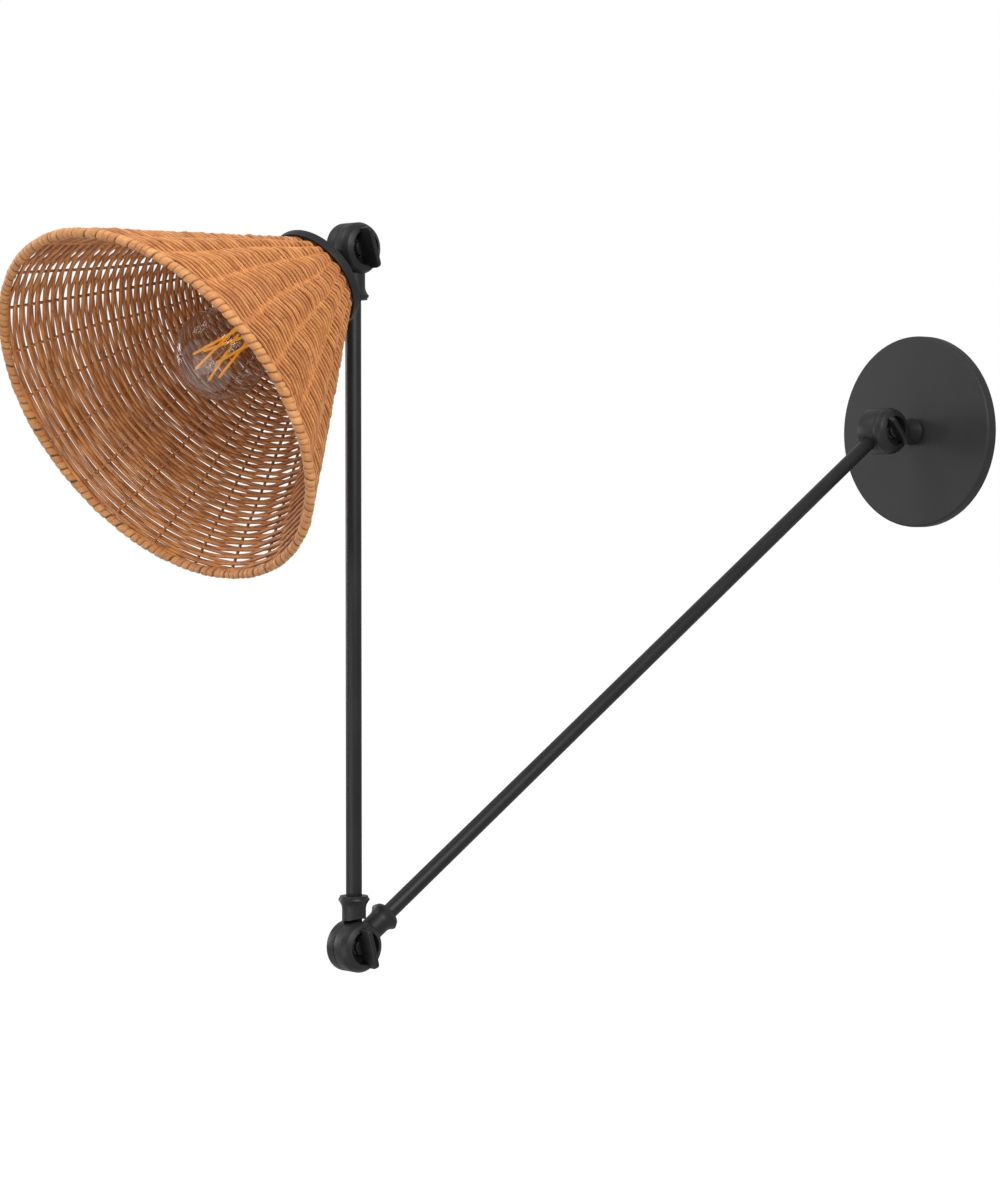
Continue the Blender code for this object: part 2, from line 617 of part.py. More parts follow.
def lampholder(bottom):
    """A cup with a screw shell, a contact block and a centre contact. Returns the contact's top."""
    hole = NIPPLE_RADIUS + GAP
    inner = HOLDER_RADIUS - HOLDER_WALL
    top = bottom + HOLDER_LENGTH
    floor = bottom + HOLDER_WALL
    mouth, foot = HOLDER_EDGES
    profile = [(inner, top), (HOLDER_RADIUS - mouth, top), (HOLDER_RADIUS, top - mouth)]
    profile += [(HOLDER_RADIUS, bottom + foot), (HOLDER_RADIUS - foot, bottom), (hole, bottom)]
    profile += [(hole, floor), (inner, floor)]
    place(turned(profile, ROUND, closed=True), "lampholder_cup", SHADE_AXIS, finish=FIBRE)
    block = floor + GAP + BLOCK_STANDOFF
    shell = block + HOLDER_BLOCK + GAP
    disc = ring(BLOCK_HOLE, inner - GAP, block, block + HOLDER_BLOCK, ROUND)
    place(disc, "lampholder_block", SHADE_AXIS, finish=PORCELAIN)
    sleeve = ring(SHELL_RADIUS - SHELL_SHEET, SHELL_RADIUS, shell, shell + SHELL_LENGTH, ROUND)
    place(sleeve, "lampholder_shell", SHADE_AXIS, finish=BRASS)
    length, width, sheet = CONTACT_SIZE
    corners = ((-1, -1), (1, -1), (1, 1), (-1, 1))
    outline = [(x * length / 2, y * width / 2) for x, y in corners]
    spring = flat([outline], sheet)
    place(spring, "lampholder_contact", SHADE_AXIS, location=(0, 0, shell + sheet / 2), finish=BRASS)
    return floor, shell + sheet


# ---- bulb -----------------------------------------------------------------------------------------

def bulb_outline(shrink, start):
    """Outer points of the glass from its tip to its neck, moved inwards by shrink."""
    radius = BULB_RADIUS - shrink
    neck = BULB_NECK_RADIUS - shrink
    centre = start + BULB_NECK_TO_CENTRE
    globe = arc((0, centre), radius, 90, BULB_GLOBE_END, 9)
    globe[0] = (0, centre + radius)
    bottom_radius, bottom = globe[-1]
    collar = start + BULB_NECK_LENGTH
    shoulder = []
    for step in range(1, 4):
        along = step / 3
        ease = 0.5 + 0.5 * math.cos(math.pi * along)
        share = 0.35 * ease + 0.65 * (1 - along) ** 1.3
        shoulder.append((neck + (bottom_radius - neck) * share, bottom + (collar - bottom) * along))
    return globe + shoulder + [(neck, start)]


def bulb(contact_top):
    tip = contact_top + GAP
    insulator = tip + BULB_TIP_HEIGHT + GAP
    base = insulator + BULB_INSULATOR + GAP
    base_end = base + BULB_BASE_LENGTH
    glass_start = base_end - BULB_SEAT
    inner_base = BULB_BASE_RADIUS - BULB_BASE_SHEET
    place(cylinder(BULB_TIP_RADIUS, tip, tip + BULB_TIP_HEIGHT), "bulb_contact", SHADE_AXIS, finish=ZINC)
    disc = ring(BLOCK_HOLE, inner_base - BULB_INSULATOR_INSET, insulator, base - GAP, ROUND)
    place(disc, "bulb_insulator", SHADE_AXIS, finish=BLACK_GLASS)
    place(ring(inner_base, BULB_BASE_RADIUS, base, base_end, ROUND), "bulb_base", SHADE_AXIS, finish=ZINC)
    outer = bulb_outline(0, glass_start)
    inner = bulb_outline(BULB_GLASS, glass_start)
    place(turned(outer + inner[::-1], BULB_SIDES), "bulb_glass", SHADE_AXIS, finish=GLASS)
    centre = glass_start + BULB_NECK_TO_CENTRE
    glass_mount(glass_start, centre)
    filaments(centre)


def glass_mount(start, centre):
    """The glass foot that holds the filaments, closed into the neck of the bulb."""
    top = centre + FILAMENT_TOP[1] - MOUNT_TOP_GAP
    inner_neck = BULB_NECK_RADIUS - BULB_GLASS - GAP
    flare_radius, flare, stem = MOUNT_STEM
    profile = [(0, top), (MOUNT_TOP_RADIUS, top), (MOUNT_TOP_RADIUS, start + stem)]
    profile += [(flare_radius, start + flare), (inner_neck, start + BEYOND / 2)]
    profile += [(inner_neck, start), (0, start)]
    place(turned(profile, SMALL), "bulb_mount", SHADE_AXIS, finish=GLASS)


def filaments(centre):
    """Straight filaments between two circles, each turned the same way, so that none meets another."""
    top_radius, top = FILAMENT_TOP
    foot_radius, foot = FILAMENT_FOOT
    head = Vector((top_radius, 0, centre + top))
    twist = FILAMENT_TWIST
    end = Vector((foot_radius * math.cos(twist), foot_radius * math.sin(twist), centre + foot))
    lean = (end - head).to_track_quat("Z", "Y").to_euler()
    for index in range(FILAMENT_COUNT):
        rod = cylinder(FILAMENT_RADIUS, 0, (end - head).length, 8)
        turn = (0, 0, math.tau * index / FILAMENT_COUNT)
        around = empty(f"filament_{index + 1}_around", SHADE_AXIS, rotation=turn)
        place(rod, f"bulb_filament_{index + 1}", around, lean, head, AMBER)


def shade_head():
    shade_cap()
    weave_top = fitter_plate()
    wicker_cone(weave_top)
    rim_hoop()
    hex_nut("shade_nut", SHADE_AXIS, weave_top)
    holder_bottom = weave_top + NUT_THICKNESS + GAP
    floor, contact_top = lampholder(holder_bottom)
    nipple_start = CAP_BACK - TUBE_INSERT + GAP
    nipple = ring(NIPPLE_BORE, NIPPLE_RADIUS, nipple_start, floor + BLOCK_STANDOFF - GAP)
    place(nipple, "shade_nipple", SHADE_AXIS, finish=ZINC)
    bulb(contact_top)


# ---- assembly -------------------------------------------------------------------------------------

clear_scene()
PARTS = new_collection("swing_arm_wall_sconce")
CUTTERS = new_collection("cutters")

STRAP_BACK = GAP
WALL_SEAM = TUBE_RADIUS + BARREL_COVER                    # mating face of the barrel, which holds the tube
WALL_DRUM_FRONT = WALL_SEAM + WALL_NEAR_DEPTH
WALL_WIRE_AT = WALL_SEAM + WALL_WIRE_INSET
SADDLE_RADIUS = WALL_SEAM + SADDLE_RISE
SHADE_TOP_RADIUS = CAP_RADIUS - CAP_SHEET - TINY_EDGE     # outside of the weave at the cap's lip
SHADE_MOUTH = CAP_BACK + CAP_DEPTH + SHADE_LENGTH         # along the shade's axis
LOWER_ARM_TILT = math.pi / 2 + LOWER_ARM_DROP
SHADE_TILT = math.pi / 2 + SHADE_DROP

FACING_ROOM = empty("facing_room", rotation=(math.pi / 2, 0, 0))

wall_place = Vector((0, -WALL_JOINT_OUT, 0))
along_lower_arm = Vector((0, -math.cos(LOWER_ARM_DROP), -math.sin(LOWER_ARM_DROP)))
elbow_place = wall_place + along_lower_arm * LOWER_ARM_LENGTH
head_place = elbow_place + Vector((0, 0, UPPER_ARM_LENGTH))

wall_joint = {"empty": empty("wall_joint", location=wall_place),
              "radius": WALL_DRUM_RADIUS, "seam": WALL_SEAM, "front": WALL_DRUM_FRONT}
elbow_joint = {"empty": empty("elbow_joint", location=elbow_place),
               "radius": ARM_DRUM_RADIUS, "seam": ARM_SEAM, "front": ARM_DRUM_FRONT}
head_joint = {"empty": empty("head_joint", location=head_place, rotation=(0, 0, HEAD_TURN)),
              "radius": ARM_DRUM_RADIUS, "seam": ARM_SEAM, "front": ARM_DRUM_FRONT}
SHADE_AXIS = empty("shade_axis", head_joint["empty"], rotation=(SHADE_TILT, 0, 0))

wall_plate()
wall_fixing()
wall_knuckle(wall_joint)
elbow_knuckle(elbow_joint)
shade_knuckle(head_joint)
for joint, title, tilt in ((wall_joint, "wall", WALL_KEY_TILT), (elbow_joint, "elbow", ELBOW_KEY_TILT),
                           (head_joint, "shade", SHADE_KEY_TILT)):
    shim(joint, title + "_shim")
    key(joint, title + "_key", tilt)
shade_head()
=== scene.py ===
# %% [markdown]
# # A swing arm wall sconce with a wicker shade
# This lesson dresses a finished mechanical model. The model comes as a fixed frame: solids that already
# have the right size and place, grouped into bodies that move. Here every piece that can be seen gets a
# fine mesh and a finish of its own, and each one is tied to the body it moves with.

# %% Load the fixed frame
import json
import math
import random

import bmesh
import bpy
import numpy as np
from mathutils import Matrix, Vector


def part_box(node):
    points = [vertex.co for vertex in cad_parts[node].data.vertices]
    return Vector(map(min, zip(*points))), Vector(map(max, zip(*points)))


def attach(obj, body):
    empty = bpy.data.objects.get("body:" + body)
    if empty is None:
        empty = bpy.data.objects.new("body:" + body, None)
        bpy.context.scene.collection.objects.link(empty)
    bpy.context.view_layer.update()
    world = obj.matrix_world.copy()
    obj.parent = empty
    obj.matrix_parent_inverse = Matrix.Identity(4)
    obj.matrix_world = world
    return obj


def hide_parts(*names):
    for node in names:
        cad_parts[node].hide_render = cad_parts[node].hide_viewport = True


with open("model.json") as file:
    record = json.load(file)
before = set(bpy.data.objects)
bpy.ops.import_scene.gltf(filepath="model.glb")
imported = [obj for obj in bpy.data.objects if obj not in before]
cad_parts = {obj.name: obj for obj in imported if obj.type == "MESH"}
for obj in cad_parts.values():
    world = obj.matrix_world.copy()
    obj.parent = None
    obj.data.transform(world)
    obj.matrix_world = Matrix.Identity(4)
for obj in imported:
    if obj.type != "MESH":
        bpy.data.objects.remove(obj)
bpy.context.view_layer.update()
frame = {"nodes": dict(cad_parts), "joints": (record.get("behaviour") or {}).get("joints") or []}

# %% [markdown]
# ## Where everything is
# A lamp like this is a chain: wall, joint, tube, joint, tube, joint, shade. The joints' places and axes
# are stored with the frame. The shade's own axis runs from its knuckle to the middle of its rim, and the
# rim's box gives that middle, because a box round a tilted ring has the same centre as the ring.

# %% Joints and directions
JOINTS = {joint["name"]: joint for joint in frame["joints"]}


def box_centre(node):
    low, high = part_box(node)
    return (low + high) / 2


WALL = Vector(JOINTS["wall_hinge"]["pos_m"])
ELBOW = Vector(JOINTS["elbow_hinge"]["pos_m"])
HEAD = Vector(JOINTS["shade_hinge"]["pos_m"])
HEAD_AXIS = Vector(JOINTS["shade_hinge"]["axis"]).normalized()
RIGHT = Vector((1, 0, 0))
UP = Vector((0, 0, 1))
OUT = Vector((0, -1, 0))
SHADE_AXIS = (box_centre("rim_hoop") - HEAD).normalized()
LOWER_ARM = (ELBOW - WALL).normalized()
UPPER_ARM = (HEAD - ELBOW).normalized()
print("shade axis:", [round(value, 4) for value in SHADE_AXIS])

# %% [markdown]
# ## A small language for shaders
# Long node trees are hard to read as code, and easy to read as sums. This class wraps one output of a
# node, so that `0.4 + noise * 0.1` adds the two Math nodes for you. Colours are mixed with `between`, and
# any other node is added with `node`, which sets the node's settings first and then its sockets.

# %% The Signal class
MIX_FACTOR, MIX_FIRST, MIX_SECOND, MIX_RESULT = 0, 6, 7, 2  # the colour sockets of a Mix node


class Signal:
    """One output in a material's node tree, with arithmetic."""

    def __init__(self, tree, socket=None):
        self.tree = tree
        self.socket = socket

    def node(self, kind, settings=None, sockets=None, output=0):
        made = self.tree.nodes.new(kind)
        for name, value in (settings or {}).items():
            setattr(made, name, value)
        for name, value in (sockets or {}).items():
            plug(self.tree, made.inputs[name], value)
        return Signal(self.tree, made.outputs[output])

    def maths(self, operation, *values):
        return self.node("ShaderNodeMath", {"operation": operation}, dict(enumerate(values)))

    def __add__(self, other):
        return self.maths("ADD", self, other)

    def __sub__(self, other):
        return self.maths("SUBTRACT", self, other)

    def __mul__(self, other):
        return self.maths("MULTIPLY", self, other)

    __radd__ = __add__

    def between(self, low, high):
        """A colour from low to high, as this signal goes from 0 to 1."""
        sockets = {MIX_FACTOR: self, MIX_FIRST: low, MIX_SECOND: high}
        return self.node("ShaderNodeMix", {"data_type": "RGBA"}, sockets, MIX_RESULT)

    def stretched(self, scale):
        """This vector with each of its directions scaled."""
        return self.node("ShaderNodeVectorMath", {"operation": "MULTIPLY"}, {0: self, 1: scale})

    def spread(self, low, high):
        """This signal's range from low to high, opened out to 0 and 1 and clamped."""
        sockets = {"Value": self, "From Min": low, "From Max": high}
        return self.node("ShaderNodeMapRange", {"clamp": True}, sockets)

    def noise(self, scale, detail=3.0, roughness=0.55):
        sockets = {"Vector": self, "Scale": scale, "Detail": detail, "Roughness": roughness}
        return self.node("ShaderNodeTexNoise", {"noise_dimensions": "3D"}, sockets)


def plug(tree, socket, value):
    """Links a signal to a socket, or sets the socket to a plain number, colour or vector."""
    if isinstance(value, Signal):
        tree.links.new(value.socket, socket)
    elif isinstance(value, tuple) and socket.type == "RGBA" and len(value) == 3:
        socket.default_value = (*value, 1.0)
    else:
        socket.default_value = value


def finish(name, **constants):
    """A new material, its shader and its tree. Constants are set by socket name."""
    made = bpy.data.materials.new(name)
    made.use_nodes = True
    shader = made.node_tree.nodes["Principled BSDF"]
    for socket, value in constants.items():
        plug(made.node_tree, shader.inputs[socket.replace("_", " ")], value)
    return made, shader, Signal(made.node_tree)


def place_of(tree):
    """The place on the object, in metres."""
    return tree.node("ShaderNodeTexCoord", output="Object")


def ray(tree, kind):
    """1 where the light path has reached this point by that kind of ray, otherwise 0."""
    return tree.node("ShaderNodeLightPath", output=f"Is {kind} Ray")


def stored(tree, name, output="Fac"):
    """A value that a mesh keeps at each of its points."""
    return tree.node("ShaderNodeAttribute", {"attribute_name": name}, output=output)


def drive(shader, socket, value):
    plug(shader.id_data, shader.inputs[socket], value)


def mixed_surface(made, factor, first, second):
    """Shows one shader where the factor is 0 and another where it is 1."""
    tree = Signal(made.node_tree)
    both = tree.node("ShaderNodeMixShader", None, {0: factor, 1: first, 2: second})
    plug(made.node_tree, made.node_tree.nodes["Material Output"].inputs["Surface"], both)


def bump(tree, height, strength, distance):
    sockets = {"Height": height, "Strength": strength, "Distance": distance}
    return tree.node("ShaderNodeBump", None, sockets)


# %% [markdown]
# ## Black powder coat
# The plate, tubes, knuckles and keys are sprayed with a satin black powder and baked. The coat isn't quite
# smooth: it has a fine orange peel, and it is a little duller in some places than in others. A dark base
# colour with broad, soft highlights says this better than a pure black would. The broad plate is a shade
# greyer and duller than the castings.

# %% Black coat
COAT_DARK = (0.0090, 0.0092, 0.0096)
COAT_LIGHT = (0.0130, 0.0132, 0.0137)
PLATE_DARK = (0.0140, 0.0142, 0.0145)
PLATE_LIGHT = (0.0185, 0.0187, 0.0190)
CLOUD_SCALE = 35.0
PEEL_SCALE = 900.0
CLOUD_DULLS = 0.07
PEEL_DULLS = 0.05
NOISE_MIDDLE = (0.3, 0.7)  # most of a noise lies between these
FINE_RELIEF = 0.00008  # the depth of an orange peel or of turning lines


def make_black_coat(name, dark, light, dullness, shine):
    made, shader, tree = finish(name, Metallic=0.0, Specular_IOR_Level=shine)
    cloud = place_of(tree).noise(CLOUD_SCALE).spread(*NOISE_MIDDLE)
    peel = place_of(tree).noise(PEEL_SCALE, detail=2.0)
    drive(shader, "Base Color", cloud.between(dark, light))
    drive(shader, "Roughness", dullness + cloud * CLOUD_DULLS + peel * PEEL_DULLS)
    drive(shader, "Normal", bump(tree, peel, 0.10, FINE_RELIEF))
    return made


BLACK_COAT = make_black_coat("black_coat", COAT_DARK, COAT_LIGHT, dullness=0.36, shine=0.26)
PLATE_COAT = make_black_coat("plate_coat", PLATE_DARK, PLATE_LIGHT, dullness=0.48, shine=0.30)
print("finishes:", BLACK_COAT.name, PLATE_COAT.name)

# %% [markdown]
# ## Metals, plastic, porcelain and glass inside
# Zinc plating is bright but cloudy, brass is warmer and smoother, and both have fine turning lines. The
# lampholder's cup is moulded black plastic, and its block is glazed porcelain. None of them is a flat
# colour: each has a little cloudiness in its colour and its gloss.

# %% Small finishes
CLOUDY_DULLS = 0.10
GRAIN_DULLS = 0.06
GRAIN_FINER = 12  # how many times finer the grain is than the clouds


def cloudy(name, dark, light, dullness, metal, scale=160.0, **constants):
    """A finish whose colour and roughness drift a little over the surface."""
    made, shader, tree = finish(name, Metallic=metal, **constants)
    cloud = place_of(tree).noise(scale).spread(*NOISE_MIDDLE)
    grain = place_of(tree).noise(scale * GRAIN_FINER, detail=2.0)
    drive(shader, "Base Color", cloud.between(dark, light))
    drive(shader, "Roughness", dullness + cloud * CLOUDY_DULLS + grain * GRAIN_DULLS)
    drive(shader, "Normal", bump(tree, grain, 0.15, FINE_RELIEF))
    return made


ZINC = cloudy("zinc_plate", (0.46, 0.47, 0.49), (0.66, 0.67, 0.68), 0.26, 1.0)
BRASS = cloudy("brass", (0.62, 0.43, 0.16), (0.82, 0.61, 0.28), 0.20, 1.0)
GREEN = cloudy("green_steel", (0.03, 0.20, 0.08), (0.05, 0.32, 0.13), 0.32, 0.5)
BLACK_PLASTIC = cloudy("black_plastic", (0.018, 0.018, 0.018), (0.03, 0.03, 0.031), 0.50, 0.0)
PORCELAIN = cloudy("porcelain", (0.78, 0.76, 0.71), (0.86, 0.85, 0.81), 0.14, 0.0)
BLACK_GLASS = cloudy("black_glass", (0.012, 0.012, 0.014), (0.02, 0.02, 0.022), 0.06, 0.0)
# The filaments are given a faint glow of their own, a painted glow, since the bulb is not lit.
GLOWING_AMBER = cloudy("amber_phosphor", (0.95, 0.36, 0.008), (1.0, 0.47, 0.02), 0.45, 0.0, 900.0,
               Emission_Color=(1.0, 0.42, 0.01), Emission_Strength=0.35)

# %% [markdown]
# ## Glass
# A bulb is a thin bubble with an outside and an inside wall, and both are modelled, so light bends in and
# out again as it does in the real one. What shows a bulb up is its reflections, above all the round bright
# mouth of the shade, and a faint smoky tint. The panels' light has to get through without a black shadow,
# so for shadow rays the glass is see-through.

# %% Glass
def make_glass(name, tint, dullness):
    made, shader, tree = finish(name, Roughness=dullness, IOR=1.46, Base_Color=tint, Transmission_Weight=1.0)
    clear = tree.node("ShaderNodeBsdfTransparent", None, {"Color": tint})
    mixed_surface(made, ray(tree, "Shadow"), Signal(made.node_tree, shader.outputs[0]), clear)
    return made


SMOKY_GLASS = make_glass("smoky_glass", (0.87, 0.84, 0.81), dullness=0.0)
STEM_GLASS = make_glass("stem_glass", (0.96, 0.97, 0.96), dullness=0.02)

# %% [markdown]
# ## Rattan core and flat cane
# Rattan core is the round inside of the vine, cut into long even rods. It has long pale and dark fibres,
# small dark nicks, and a tone that wanders along its length, so no two crossings look alike. Each woven
# mesh below stores where every point lies along and around its rod, in `grain`, and this finish draws its
# fibres in that space. They follow every bend of the cane that way. Each cane has a `tone` of its own too.
# Where canes touch they lie in shade, and that shade is painted: a third value, `edge`, darkens the sides of
# each one.

# %% Rattan finishes
ALONG_FIBRES = (0.05, 1.0, 1.0)  # fibres are twenty times as long as they are wide
ALONG_NICKS = (1.0, 0.35, 0.35)
DRIFT_SHARE = 0.75  # the rest of a cane's tone is its own, from end to end
FIBRE_SHARE = 0.42
NICK_SHARE = 0.5
CREASE_SHADE_START = 0.62  # how far round a cane's side its painted shade begins
# how dark the painted shade at a cane's sides is, as a share of its deep colour
CREASE_SHADE_DEPTH = 0.22
CANE_RELIEF = 0.0002


def dimmed(colour, share):
    return tuple(share * value for value in colour)


def make_rattan(name, pale, deep, nick, dullness, crease_shade):
    made, shader, tree = finish(name, Specular_IOR_Level=0.35, Sheen_Weight=0.08)
    grain = stored(tree, "grain", "Vector")
    fibres = grain.stretched(ALONG_FIBRES).noise(3200.0, detail=4.0, roughness=0.6).spread(*NOISE_MIDDLE)
    drift = grain.noise(75.0, detail=2.0).spread(0.32, 0.68)
    patch = grain.stretched(ALONG_NICKS).noise(260.0).spread(0.60, 0.72)
    colour = (drift * DRIFT_SHARE + stored(tree, "tone") * (1 - DRIFT_SHARE)).between(deep, pale)
    striped = (fibres * FIBRE_SHARE).between(colour, dimmed(deep, 0.62))
    nicked = (patch * NICK_SHARE).between(striped, nick)
    # Painted shade: the sides of each cane, where it touches the next, are darkened towards a dim copy of
    # its deep colour.
    crevice_shade = stored(tree, "edge").spread(CREASE_SHADE_START, 1.0)
    drive(shader, "Base Color", (crevice_shade * crease_shade).between(nicked, dimmed(deep, CREASE_SHADE_DEPTH)))
    drive(shader, "Roughness", dullness + fibres * 0.16)
    drive(shader, "Normal", bump(tree, fibres - patch * 0.6, 0.35, CANE_RELIEF))
    return made


RATTAN = make_rattan("rattan_core", (0.83, 0.365, 0.110), (0.42, 0.130, 0.030), (0.13, 0.035, 0.01),
                     dullness=0.44, crease_shade=0.55)
FLAT_CANE = make_rattan("flat_cane", (0.80, 0.39, 0.135), (0.52, 0.195, 0.055), (0.16, 0.05, 0.018),
                        dullness=0.38, crease_shade=0.45)
# Painted shade: the hoop core is coloured far darker than cane, so that it reads as the shade in the grooves
# between the wraps.
GROOVE_SHADE_CORE = make_rattan("hoop_core", (0.20, 0.08, 0.03), (0.12, 0.045, 0.015), (0.06, 0.02, 0.01),
                        dullness=0.60, crease_shade=0.55)

# %% [markdown]
# ## Turned pieces
# Drums, collars, tubes, the plate and the bulb are all bodies of revolution, as if from a lathe. Each
# needs only half an outline. `rounded` softens the outline's corners first, because real edges always
# catch a thin line of light, and `turned` spins it. Sharp angles that are left are marked, so smooth
# shading stops at them.

# %% Turning helpers
SIDES = 96
PLATE_SIDES = 192
RING_SIDES = 144  # cap and hoop
TUBE_SIDES = 64
SMALL_SIDES = 48  # key hubs and the bulb's stem
BEAD_SIDES = 32
FILAMENT_SIDES = 20
WELD = 0.000005  # points this close together on the axis become one
SHARP = math.radians(32)


def rounded(corners, steps=3):
    """An outline with each corner (radius, height, rounding) eased into a short curve."""
    points = []
    for index, (x, y, cut) in enumerate(corners):
        corner = Vector((x, y))
        if cut == 0 or index in (0, len(corners) - 1):
            points.append(corner)
            continue
        before = Vector(corners[index - 1][:2]) - corner
        after = Vector(corners[index + 1][:2]) - corner
        start = corner + before.normalized() * min(cut, before.length / 2)
        end = corner + after.normalized() * min(cut, after.length / 2)
        for step in range(steps + 1):
            along = step / steps
            points.append((1 - along) ** 2 * start + 2 * along * (1 - along) * corner + along ** 2 * end)
    return [(point.x, point.y) for point in points]


def bezel(radius, height, rounding, start, end, steps):
    """An arc of an outline, in degrees."""
    turn = [math.radians(start + (end - start) * step / steps) for step in range(steps + 1)]
    return [(radius + rounding * math.cos(a), height + rounding * math.sin(a)) for a in turn]


def standing(along, across=None, place=(0, 0, 0)):
    """A matrix that points local Z along one direction, and local X towards another."""
    z_axis = Vector(along).normalized()
    x_axis = Vector(across) if across is not None else z_axis.orthogonal()
    x_axis = (x_axis - z_axis * x_axis.dot(z_axis)).normalized()
    turn = Matrix((x_axis, z_axis.cross(x_axis), z_axis)).transposed()
    return Matrix.Translation(place) @ turn.to_4x4()


def applied(obj):
    """Bakes an object's modifiers into its mesh, which ends up in world space."""
    bpy.context.view_layer.update()
    graph = bpy.context.evaluated_depsgraph_get()
    mesh = bpy.data.meshes.new_from_object(obj.evaluated_get(graph))
    mesh.transform(obj.matrix_world)
    obj.modifiers.clear()
    obj.data = mesh
    obj.matrix_world = Matrix.Identity(4)
    return obj


def linked(name, data):
    """A new object in the scene."""
    obj = bpy.data.objects.new(name, data)
    bpy.context.scene.collection.objects.link(obj)
    return obj


def turned(name, outline, matrix, closed=False, sides=SIDES):
    """An outline of (radius, height) points spun about the matrix's Z. Outer sides run downwards."""
    mesh = bpy.data.meshes.new(name)
    edges = [(index, index + 1) for index in range(len(outline) - 1)]
    if closed:
        edges.append((len(outline) - 1, 0))
    mesh.from_pydata([(x, 0.0, y) for x, y in outline], edges, [])
    obj = linked(name, mesh)
    screw = obj.modifiers.new("turn", "SCREW")
    screw.steps = sides
    screw.render_steps = sides
    screw.use_merge_vertices = True
    screw.merge_threshold = WELD
    obj.matrix_world = matrix
    return applied(obj)


def rod(name, radius, bottom, top, matrix, sides=SIDES):
    return turned(name, [(0, top), (radius, top), (radius, bottom), (0, bottom)], matrix, sides=sides)


def combined(obj, other, operation):
    """Joins or cuts with another solid, which is used up."""
    modifier = obj.modifiers.new(operation, "BOOLEAN")
    modifier.operation = operation
    modifier.solver = "EXACT"
    modifier.object = other
    applied(obj)
    bpy.data.objects.remove(other, do_unlink=True)
    return obj


def shown(obj, body, material, nodes):
    """Gives a piece its shading and finish, ties it to its body, and hides the solids it stands for."""
    obj.data.materials.clear()
    obj.data.materials.append(material)
    obj.data.shade_smooth()
    obj.data.set_sharp_from_angle(angle=SHARP)
    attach(obj, body)
    if nodes:
        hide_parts(*nodes)
    print("made", obj.name, len(obj.data.polygons), "faces")


def black(obj, body, node):
    shown(obj, body, BLACK_COAT, [node])


def in_head(obj, material, nodes):
    shown(obj, "shade_head", material, nodes)


# %% [markdown]
# ## The wall plate
# The plate is a shallow spun dish. Its front edge is rolled over with a small radius, and that radius is
# what draws the thin bright line round it. The dish is open at the back, where the strap and its nut are.

# %% Wall plate
PLATE_SHEET = 0.0012
PLATE_EDGE = 0.002
plate_low, plate_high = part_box("wall_plate")
PLATE_RADIUS = (plate_high.x - plate_low.x) / 2
PLATE_DEPTH = plate_high.y - plate_low.y
NIPPLE_HOLE = 0.00515
FACING_ROOM = standing(OUT, RIGHT)


def make_plate():
    inner = PLATE_RADIUS - PLATE_SHEET
    floor = PLATE_DEPTH - PLATE_SHEET
    edge = bezel(PLATE_RADIUS - PLATE_EDGE, PLATE_DEPTH - PLATE_EDGE, PLATE_EDGE, 90, 0, 8)
    fillet = bezel(inner - PLATE_SHEET, floor - PLATE_SHEET, PLATE_SHEET, 0, 90, 5)
    outline = [(NIPPLE_HOLE, PLATE_DEPTH)] + edge + [(PLATE_RADIUS, 0), (inner, 0)] + fillet
    outline.append((NIPPLE_HOLE, floor))
    plate = turned("spun_plate", outline, FACING_ROOM, closed=True, sides=PLATE_SIDES)
    shown(plate, "wall_base", PLATE_COAT, ["wall_plate"])


make_plate()

# %% [markdown]
# ## Knuckle joints
# Each joint is a drum cut in two across its axis. The far half is plain. The near half has two bevels and
# a deep recess for the key. A neck grows out of each half, swells into a collar like a trumpet's bell, and
# takes a tube. Both halves are turned, the neck is turned too, and a Boolean joins them. Before that, the
# neck is cut clear of the other half, which has to turn past it.

# %% Knuckle sizes
GAP = 0.0003
DRUM_BACK = -0.008
SHOULDER_RISE = 0.0033
SHOULDER_INSET = 0.0018
CROWN_RISE = 0.0019
RECESS_RADIUS = 0.0107
RECESS_DEPTH = 0.0076
RECESS_WEB = 0.0012
CHANNEL_DEPTH = 0.0022
SCREW_HOLE = 0.0032
NECK_RADIUS = 0.0075
NECK_FLARE = 0.0024
NECK_ROOT = 0.0116
NECK_STRAIGHT = 0.0215
COLLAR_END = 0.0318
LIP_HEIGHT = 0.0011
LIP_FOOT = 0.0015
LIP_STEP = 0.0006  # how far the collar's lip is cut back at its end
FLARE_END = 0.0026
TUBE_RADIUS = 0.005
TUBE_INSERT = 0.012
TUBE_HOLE = TUBE_RADIUS + GAP
WALL_SOCKET = (0.0075, 0.019)  # where the wall barrel's socket starts and ends, from the joint
WALL_NECK_ROOT = (0.0102, 0.0195)
CAP_BACK = 0.0369  # from the shade's joint to the cap
FAR_BORE = 0.0044
TURNING_ROOM = 0.0021  # between a neck and the half that turns past it
WALL_TURNING_ROOM = 0.0008
SEAM_ROOM = 0.0002  # keeps a neck off the face where the two halves meet
FINE_EDGE = 0.0003
SMALL_EDGE = 0.0004
SOFT_EDGE = 0.0006
BACK_EDGE = 0.0009

WALL_DRUM = {"place": WALL, "axis": RIGHT, "radius": 0.0167, "seam": 0.0064, "front": 0.0100}
ELBOW_DRUM = {"place": ELBOW, "axis": RIGHT, "radius": 0.0160, "seam": -0.0008, "front": 0.0066}
HEAD_DRUM = {"place": HEAD, "axis": HEAD_AXIS, "radius": 0.0160, "seam": -0.0008, "front": 0.0066}


def crown_of(drum):
    return drum["front"] + SHOULDER_RISE + CROWN_RISE


def recess_floor(drum):
    """The recess is shallower where it would break into the wire channel behind it."""
    return max(crown_of(drum) - RECESS_DEPTH, drum["seam"] + GAP + CHANNEL_DEPTH + RECESS_WEB)


def drum_stand(drum):
    return standing(drum["axis"], UP, drum["place"])


